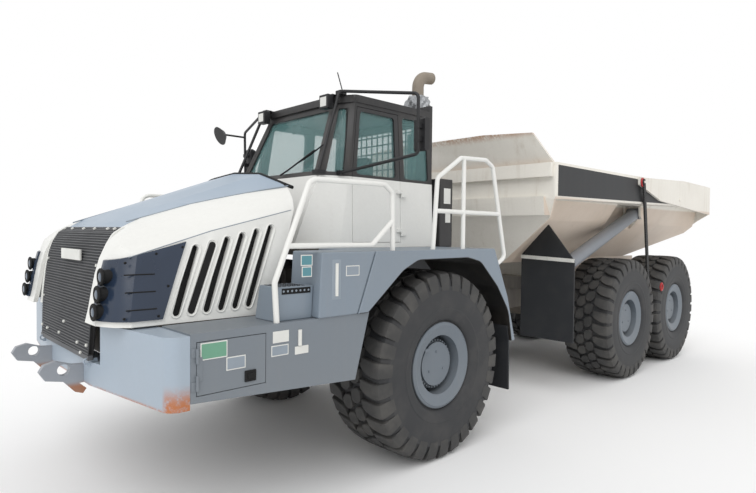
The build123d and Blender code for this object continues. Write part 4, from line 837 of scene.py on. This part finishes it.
class TRUCK_OT_grille(bpy.types.Operator):
    """Makes the grille: a fine mesh of wires on a curved sheet, its border, fasteners and blank plate."""

    bl_idname = "truck.grille"
    bl_label = "Make the grille"

    def execute(self, context):
        wires, strips, shadow, studs, plate = Form(), Form(), Form(), Form(), Form()
        ahead, level = along_grille(40, 0.006)
        for share in np.linspace(-0.99, 0.99, 53):
            wires.tube(at(ahead, share * grille_half_width(level), level), 0.0035, sides=4)
        for ahead, level in np.transpose(along_grille(48, 0.004))[2:-1]:
            wires.tube(at(ahead, np.linspace(-1, 1, 3) * grille_half_width(level), level), 0.0045, sides=4)
        wires.slab(at(2.895, -0.66, 1.25), at(2.928, 0.66, 1.285))
        front, back = along_grille(40), along_grille(40, 0.030)
        inner = grille_half_width(front[1])
        for side in SIDES.values():
            corners = ((front, side * inner), (front, side * GRILLE_HALF), (back, side * GRILLE_HALF),
                       (back, side * inner))
            strips.bar(grille_sections(corners)[front[1] > STRIP_FOOT])
        strips.piece("grille_side_strips", "hood", "hood_paint", slot="white_paint", smooth=50)
        wires.piece("grille_wires", "hood", "grille_mesh", slot="charcoal_paint", replaces=("grille",), smooth=50)
        near, far = along_grille(24, 0.034), along_grille(24, 0.040)
        reach = grille_half_width(near[1]) + 0.01
        shadow.bar(grille_sections(((near, -reach), (near, reach), (far, reach), (far, -reach))))
        shadow.piece("grille_shadow", "hood", "gap_black", slot="dark_plastic", smooth=50)
        y, z = GRILLE_STUDS.T
        studs.heads(at(np.interp(z, GRILLE_LINE[:, 1], GRILLE_LINE[:, 0]), y, z), (1, 0, 0.05), *STUD)
        studs.heads(at(2.735, EDGE_STUDS, 2.222), (0.5, 0, 0.85), *STUD)
        studs.piece("grille_studs", "hood", "blank_white", slot="charcoal_paint")
        plate.slab(at(2.868, -0.19, 1.972), at(2.884, 0.31, 2.058))
        plate.piece("grille_plate", "hood", "blank_white", slot="white_paint", bevel=0.003)
        return {"FINISHED"}


# level of each lamp and how far its face stands ahead of the front axle
LAMPS = ((1.650, 2.985), (1.770, 2.962), (1.890, 2.938))
LAMP_Y = 0.985
LAMP_RADIUS = 0.049
LENS_RADIUS = 0.038
LENS_BULGE = 0.012
# radius, thickness and place ahead of the face of each lamp's two rings
LAMP_RINGS = ((0.052, 0.010, 0.004), (0.040, 0.006, 0.008))
# place ahead and level of the lamp panels' bolts
PANEL_BOLTS = np.array([(2.86, 1.615), (2.63, 1.615), (2.43, 2.095), (2.83, 1.99), (2.62, 2.05), (2.55, 1.82)]).T
WORK_LAMP_Y = 0.580
WORK_GLASS_HALF = 0.048


class TRUCK_OT_lamps(bpy.types.Operator):
    """Makes the headlamps' rings and lenses, each lens bulging as a quarter circle does, the lamp panels' pressed
    grooves, drawn black as painted shade, and bolts, and the work lamps' glass."""

    bl_idname = "truck.lamps"
    bl_label = "Make the lamps"

    def execute(self, context):
        rings, lenses, grooves, glass = Form(), Form(), Form(), Form()
        turn = turns(40)
        inward = np.linspace(0, 1, 8)[:, None]
        low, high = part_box("work_lamps")
        glass_z = (low.z + high.z) / 2 - 0.012
        for side in SIDES.values():
            y = side * LAMP_Y
            for level, face in LAMPS:
                rings.tube([at(face - 0.09, y, level), at(face, y, level)], LAMP_RADIUS, sides=32)
                for radius, thick, out in LAMP_RINGS:
                    rings.tube(at(face + out, y + radius * np.cos(turn), level + radius * np.sin(turn)), thick,
                               closed=True)
                radius = LENS_RADIUS * (1 - inward)
                bulge = LENS_BULGE * np.sqrt(1 - (1 - inward) ** 2)
                lenses.grid(at(face + 0.004 + bulge, y + radius * np.cos(turn), level + radius * np.sin(turn)),
                            close_v=True)
                # raised black tubes stand for the panels' pressed grooves: painted shade in them
                grooves.tube(on_hood_side(side, np.linspace(2.845, 2.64, 10), level + 0.018, 0.017), 0.005, sides=6)
            grooves.heads(on_hood_side(side, *PANEL_BOLTS, 0.016), (0, side, 0), 0.020, 0.006)
            y = side * WORK_LAMP_Y
            glass.slab((high.x - 0.002, y - WORK_GLASS_HALF, glass_z - WORK_GLASS_HALF),
                       (high.x + 0.006, y + WORK_GLASS_HALF, glass_z + WORK_GLASS_HALF))
        rings.piece("lamp_rings", "hood", "gap_black", slot="lamp_blue", smooth=60)
        lenses.piece("lamp_lenses", "hood", "lamp_lens", replaces=("headlamps",), smooth=60)
        grooves.piece("lamp_panel_grooves", "hood", "gap_black", slot="lamp_blue")
        glass.piece("work_lamp_glass", "tractor", "blank_white", slot="lamp_lens", bevel=0.004)
        return {"FINISHED"}


# how far the wiper's arm and blade stand out from the windscreen, across and level, then their radius
WIPER = ((((0.030, 0.10, 2.81), (0.0434, 0.22, 2.85), (0.030, 0.56, 3.04)), 0.009),
         (((0.018, 0.34, 2.93), (0.018, 0.50, 3.00), (0.018, 0.66, 3.09)), 0.008))
SCREEN_FOOT_AHEAD = 0.86
SCREEN_LEAN = 0.4183
SHIELD_RISE = 0.30


class TRUCK_OT_cab(bpy.types.Operator):
    """Makes the wiper, the inside mirror, the aerial and the exhaust's crumpled heat shield, whose radius is the
    pipe's plus two sine waves round it and one up it."""

    bl_idname = "truck.cab"
    bl_label = "Make the cab's fittings"

    def execute(self, context):
        low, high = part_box("cab_frame")
        dark, shield = Form(), Form()
        for line, radius in WIPER:
            out, y, z = np.transpose(line)
            dark.tube(at(SCREEN_FOOT_AHEAD - (z - low.z) * SCREEN_LEAN + out, y, z), radius, sides=6)
        dark.slab(at(0.47, -0.24, 3.33), at(0.49, -0.07, 3.42))
        dark.tube([at(0.48, -0.155, 3.40), at(0.47, -0.155, 3.48), at(0.46, -0.155, 3.535)], 0.006, sides=6)
        dark.tube([at(0.31, 0.50, high.z - 0.01), at(0.37, 0.50, 3.72), at(0.44, 0.50, 3.90)], 0.006, sides=6)
        dark.piece("cab_fittings", "tractor", "dark_plastic")
        turn = turns(48)
        rise = np.linspace(0, 1, 22)[:, None]
        wrinkle = 0.016 * np.sin(5 * turn + 9 * rise) + 0.012 * np.sin(11 * turn - 17 * rise)
        radius = (0.105 + wrinkle + 0.05 * np.sin(np.pi * rise)) * np.minimum(1, np.minimum(rise, 1 - rise) * 40)
        shield.grid(at(radius * np.cos(turn) - 0.905, radius * np.sin(turn) + 0.430, 3.60 + SHIELD_RISE * rise),
                    close_v=True)
        shield.piece("exhaust_shield", "tractor", "zinc", slot="hot_steel", smooth=25)
        return {"FINISHED"}


class TRUCK_OT_steps(bpy.types.Operator):
    """Makes the steps' grips: rows of round holes over the tread, drawn as dark discs of painted shade, and a dark
    grip strip along its outer edge, with grey dots of painted light where the surroundings show through its holes.
    """

    bl_idname = "truck.steps"
    bl_label = "Make the steps' grips"

    def execute(self, context):
        holes, strip, dots = Form(), Form(), Form()
        _, outer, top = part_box("steps")[1]
        ahead, across = np.meshgrid(np.linspace(1.64, 1.86, 6), np.linspace(1.36, outer - 0.04, 7))
        for side in SIDES.values():
            edge = side * (outer + 0.003)
            # dark discs on the tread: painted shade seen through its holes
            holes.heads(at(ahead, side * across, top), (0, 0, 1), 0.026, 0.003)
            strip.slab(at(1.60, edge - side * 0.007, top - 0.055), at(1.865, edge, top - 0.010))
            # grey dots on the strip: painted light of the surroundings seen through its holes
            dots.heads(at(np.linspace(1.62, 1.85, 7), edge, top - 0.032), (0, side, 0), 0.018, 0.002)
        holes.piece("step_holes", "tractor", "gap_black", slot="charcoal_paint")
        strip.piece("step_grips", "tractor", "gap_black", slot="charcoal_paint")
        dots.piece("step_grip_dots", "tractor", "blank_grey", slot="slate_paint")
        return {"FINISHED"}


CUSHION_POWER = 0.45
SEAT_TOP = 2.54


def bent(value):
    """A value raised to the cushion's power, with its sign kept."""
    return np.sign(value) * np.abs(value) ** CUSHION_POWER


def cushion(form, centre, half, lean=0.0):
    """Crowned pad: a rounded block whose x, y and z are powers of the sines and cosines of two angles, so that its
    faces bulge and its sides pull in at the corners; it leans back by a share of its height."""
    up = np.linspace(-np.pi / 2, np.pi / 2, 16)[:, None]
    turn = turns(28)
    x = half[0] * bent(np.cos(up)) * bent(np.cos(turn))
    y = half[1] * bent(np.cos(up)) * bent(np.sin(turn))
    z = half[2] * bent(np.sin(up))
    form.grid(points(centre[0] + x - lean * z, centre[1] + y, centre[2] + z), close_v=True)


class TRUCK_OT_seat(bpy.types.Operator):
    """Makes the driver's seat: crowned cushion, leaning back and its side bolsters on a plain pedestal."""

    bl_idname = "truck.seat"
    bl_label = "Make the seat"

    def execute(self, context):
        low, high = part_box("seat")
        pads, base = Form(), Form()
        cushion(pads, (high.x - 0.250, 0.0, 2.490), (0.245, 0.245, 0.072))
        cushion(pads, (low.x + 0.125, 0.0, (SEAT_TOP + high.z) / 2 - 0.02),
                (0.058, 0.232, (high.z - SEAT_TOP) / 2 - 0.02), lean=0.12)
        for side in SIDES.values():
            cushion(pads, (high.x - 0.250, side * 0.215, 2.512), (0.225, 0.030, 0.046))
        pads.piece("seat_pads", "tractor", "seat_fabric", replaces=("seat",), smooth=70)
        base.slab((high.x - 0.390, -0.155, low.z + 0.002), (high.x - 0.095, 0.155, 2.430))
        base.piece("seat_pedestal", "tractor", "dark_plastic", bevel=0.012)
        return {"FINISHED"}


# name, finish, body, low corner and high corner; places along X are measured forward from the front axle
PLATES = (
    ("door_plate_green", "blank_green", "box_door", (2.355, 1.6535, 1.372), (2.535, 1.6585, 1.472)),
    ("door_plate_grey", "blank_grey", "box_door", (2.215, 1.6535, 1.275), (2.348, 1.6585, 1.352)),
    ("box_label_left", "blank_white", "tractor", (1.845, 1.6535, 1.405), (1.985, 1.6575, 1.490)),
    ("box_label_grey", "blank_grey", "tractor", (1.855, 1.6535, 1.315), (1.990, 1.6575, 1.380)),
    ("box_label_low", "blank_white", "tractor", (1.665, 1.6535, 1.295), (1.790, 1.6575, 1.355)),
    ("tank_label_high", "blank_teal", "tractor", (1.630, 1.641, 1.965), (1.725, 1.6455, 2.035)),
    ("tank_label_low", "blank_teal", "tractor", (1.635, 1.641, 1.880), (1.715, 1.6455, 1.945)),
    ("tank_plate", "blank_grey", "tractor", (1.170, 1.671, 1.870), (1.300, 1.6755, 1.940)),
    ("cabinet_label_high", "blank_white", "tractor", (-0.955, 0.919, 2.560), (-0.835, 0.924, 2.740)),
    ("cabinet_label_low", "blank_white", "tractor", (-0.955, 0.919, 2.340), (-0.865, 0.924, 2.500)),
)
BORDER = 0.007


class TRUCK_OT_plates(bpy.types.Operator):
    """Makes the blank plates, the sight gauges and the box door's latch."""

    bl_idname = "truck.plates"
    bl_label = "Make the blank plates"

    def execute(self, context):
        for name, finish, body, low, high in PLATES:
            form, slot = Form(), "white_paint"
            form.slab(at(*low), at(*high))
            if finish != "blank_white":
                border, slot = Form(), "slate_paint"
                border.slab(at(low[0] - BORDER, low[1], low[2] - BORDER),
                            at(high[0] + BORDER, high[1] - 0.0015, high[2] + BORDER))
                border.piece(f"{name}_border", body, "blank_white", slot="white_paint")
            form.piece(name, body, finish, slot=slot, bevel=0.0015)
        latch, gauge, glass = Form(), Form(), Form()
        latch.slab(at(2.125, 1.652, 1.165), at(2.215, 1.666, 1.245))
        latch.slab(at(2.145, 1.660, 1.185), at(2.195, 1.674, 1.225))
        latch.piece("box_latch", "box_door", "gap_black", slot="dark_plastic", bevel=0.006)
        gauge.slab(at(1.360, 1.664, 1.680), at(1.450, 1.6745, 2.000))
        gauge.piece("sight_gauge_frame", "tractor", "blank_grey", slot="slate_paint", bevel=0.006)
        glass.tube(at(1.405, 1.676, np.linspace(1.71, 1.97, 3)), 0.014, sides=12)
        glass.tube(at(1.745, 1.656, np.linspace(1.36, 1.48, 3)), 0.016, sides=12)
        glass.piece("sight_gauges", "tractor", "blank_white", slot="white_paint", smooth=60)
        return {"FINISHED"}


# place ahead of the front axle and level of the black band's corners, and across and level of the clamp bars'
BAND = np.array([(-2.10, 2.69), (-7.20, 2.775), (-7.20, 2.99), (-4.45, 3.075), (-2.10, 3.07)]).T
CLAMP_BAR = np.array([(0.815, 1.875), (1.612, 1.845), (1.612, 1.895), (0.815, 1.925)]).T
CLAMP_BOLTS = np.array([0.87, 1.05, 1.23, 1.41, 1.56])
STRAP_Y = 1.735
# half length, half height and thickness of a shackle's ring
SHACKLE = (0.048, 0.058, 0.014)


class TRUCK_OT_body(bpy.types.Operator):
    """Makes the dump body's black side bands, the straps' shackles and the mud flaps' clamp bars."""

    bl_idname = "truck.body"
    bl_label = "Make the body's details"

    def execute(self, context):
        band, bars, upper, lower = Form(), Form(), Form(), Form()
        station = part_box("mid_flaps")[1].x
        low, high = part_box("straps")
        mesh = nodes["straps"].data
        ends = np.empty(3 * len(mesh.vertices))
        mesh.vertices.foreach_get("co", ends)
        ends = ends.reshape(-1, 3)
        foot_x = ends[ends[:, 2] < low.z + 0.03, 0].mean()
        head_x = ends[ends[:, 2] > high.z - 0.03, 0].mean()
        turn = turns(24)
        for side in SIDES.values():
            band.prism(at(BAND[0], side * 1.679, BAND[1]), (0, side * 0.0045, 0))
            bars.prism(points(station - 0.001, side * CLAMP_BAR[0], CLAMP_BAR[1]), (0.008, 0, 0))
            bars.heads(points(station + 0.007, side * CLAMP_BOLTS, 1.898 - 0.0376 * (CLAMP_BOLTS - 0.83)), (1, 0, 0),
                       0.024, 0.010)
            for form, x, z in ((upper, head_x, high.z - 0.05), (lower, foot_x, low.z + 0.06)):
                ring = points(x + SHACKLE[0] * np.cos(turn), side * STRAP_Y, z + SHACKLE[1] * np.sin(turn))
                form.tube(ring, SHACKLE[2], sides=8, closed=True)
        band.piece("body_side_bands", "bed", "body_panel_black", slot="charcoal_paint")
        bars.piece("flap_clamp_bars", "rear_frame", "blank_white", slot="white_paint", bevel=0.002)
        upper.piece("upper_shackles", "tailgate", "shackle_red", slot="rusty_steel", smooth=60)
        lower.piece("lower_shackles", "straps", "shackle_red", slot="rusty_steel", smooth=60)
        return {"FINISHED"}


class TRUCK_OT_stage(bpy.types.Operator):
    """Sets up the camera, the pale floor, the white surroundings and the soft sun."""

    bl_idname = "truck.stage"
    bl_label = "Set up the studio"

    def execute(self, context):
        place_camera(context.scene.truck_camera)
        light_world()
        lay_floor()
        hang_sun()
        context.scene.view_settings.view_transform = "Standard"
        return {"FINISHED"}


def placed(name, data):
    """A new object of the scene."""
    made = bpy.data.objects.new(name, data)
    bpy.context.scene.collection.objects.link(made)
    return made


def place_camera(view):
    """Camera at the photograph's place, turned from heading, pitch and roll."""
    forward = Vector((math.cos(view.heading) * math.cos(view.pitch), math.sin(view.heading) * math.cos(view.pitch),
                      math.sin(view.pitch)))
    level = Vector((math.sin(view.heading), -math.cos(view.heading), 0.0))
    upright = level.cross(forward)
    right = level * math.cos(view.roll) + upright * math.sin(view.roll)
    up = upright * math.cos(view.roll) - level * math.sin(view.roll)
    data = bpy.data.cameras.new("camera")
    data.sensor_width = 36.0
    data.lens = view.lens
    camera = placed("camera", data)
    turn = Matrix((right, up, -forward)).transposed().to_4x4()
    camera.matrix_world = Matrix.Translation((X_FRONT + view.ahead, view.side, view.height)) @ turn
    bpy.context.scene.camera = camera


def seen_directly(tree):
    """1 for rays from the camera, a mirror or through glass, 0 for rays that light the truck."""
    path = tree.nodes.new("ShaderNodeLightPath")
    camera, glossy, through = (Signal(tree, path.outputs[f"Is {kind} Ray"]) for kind in
                               ("Camera", "Glossy", "Transmission"))
    return camera.either(glossy).either(through)


def light_world():
    """White where it is seen, and a soft sky where it lights the truck."""
    world = bpy.data.worlds.new("surroundings")
    world.use_nodes = True
    bpy.context.scene.world = world
    tree = world.node_tree
    background = tree.nodes["Background"]
    background.inputs["Color"].default_value = WHITE_LIGHT
    put(tree, background.inputs["Strength"], seen_directly(tree) * (1.0 - SKY_STRENGTH) + SKY_STRENGTH)


def lay_floor():
    """Pale floor that is white away from the truck and keeps the shadow under it."""
    data = bpy.data.meshes.new("floor")
    half = FLOOR_HALF
    data.from_pydata([(-half, -half, 0), (half, -half, 0), (half, half, 0), (-half, half, 0)], [], [(0, 1, 2, 3)])
    finish = Finish("floor_white")
    finish.feed("Base Color", (0.97, 0.97, 0.97))
    finish.feed("Roughness", 0.9)
    glow = finish.node("ShaderNodeEmission", {}, {"Color": WHITE_LIGHT, "Strength": 1.0})
    far = (finish.x * finish.x + finish.y * finish.y * 2.0).math("SQRT").smooth(*FADE)
    blend = finish.node("ShaderNodeMixShader", {}, {0: far * seen_directly(finish.tree), 1: finish.shader.outputs[0],
                                                    2: glow.outputs[0]})
    put(finish.tree, finish.tree.nodes["Material Output"].inputs["Surface"], blend.outputs[0])
    data.materials.append(finish.material)
    placed("floor", data)


def hang_sun():
    """One broad sun from the front left and above, as under a bright overcast sky."""
    data = bpy.data.lights.new("sun", "SUN")
    data.energy = SUN_STRENGTH
    data.angle = SUN_SPREAD
    placed("sun", data).rotation_euler = Vector(SUN_HEADING).to_track_quat("-Z", "Y").to_euler()


class TRUCK_PT_panel(bpy.types.Panel):
    """Lists the steps that dress the truck."""

    bl_idname = "TRUCK_PT_panel"
    bl_label = "Dump truck"
    bl_space_type = "VIEW_3D"
    bl_region_type = "UI"
    bl_category = "Dump truck"

    def draw(self, context):
        for step in STEPS:
            self.layout.operator(step.bl_idname)


STEPS = (TRUCK_OT_stage, TRUCK_OT_paint, TRUCK_OT_soften, TRUCK_OT_tyres, TRUCK_OT_hubs, TRUCK_OT_hood,
         TRUCK_OT_grille, TRUCK_OT_lamps, TRUCK_OT_cab, TRUCK_OT_steps, TRUCK_OT_seat, TRUCK_OT_plates, TRUCK_OT_body)
CLASSES = (TruckColours, TruckCamera, *STEPS, TRUCK_PT_panel)


def register():
    """Registers the classes and the scene's settings."""
    for each in CLASSES:
        bpy.utils.register_class(each)
    bpy.types.Scene.truck_colours = bpy.props.PointerProperty(type=TruckColours)
    bpy.types.Scene.truck_camera = bpy.props.PointerProperty(type=TruckCamera)


def unregister():
    """Takes the scene's settings and the classes away again."""
    del bpy.types.Scene.truck_camera
    del bpy.types.Scene.truck_colours
    for each in reversed(CLASSES):
        bpy.utils.unregister_class(each)


def main():
    """Dresses the truck step by step."""
    register()
    bpy.ops.truck.stage()
    bpy.ops.truck.paint()
    bpy.ops.truck.soften()
    bpy.ops.truck.tyres()
    bpy.ops.truck.hubs()
    bpy.ops.truck.hood()
    bpy.ops.truck.grille()
    bpy.ops.truck.lamps()
    bpy.ops.truck.cab()
    bpy.ops.truck.steps()
    bpy.ops.truck.seat()
    bpy.ops.truck.plates()
    bpy.ops.truck.body()


if __name__ == "__main__":
    main()
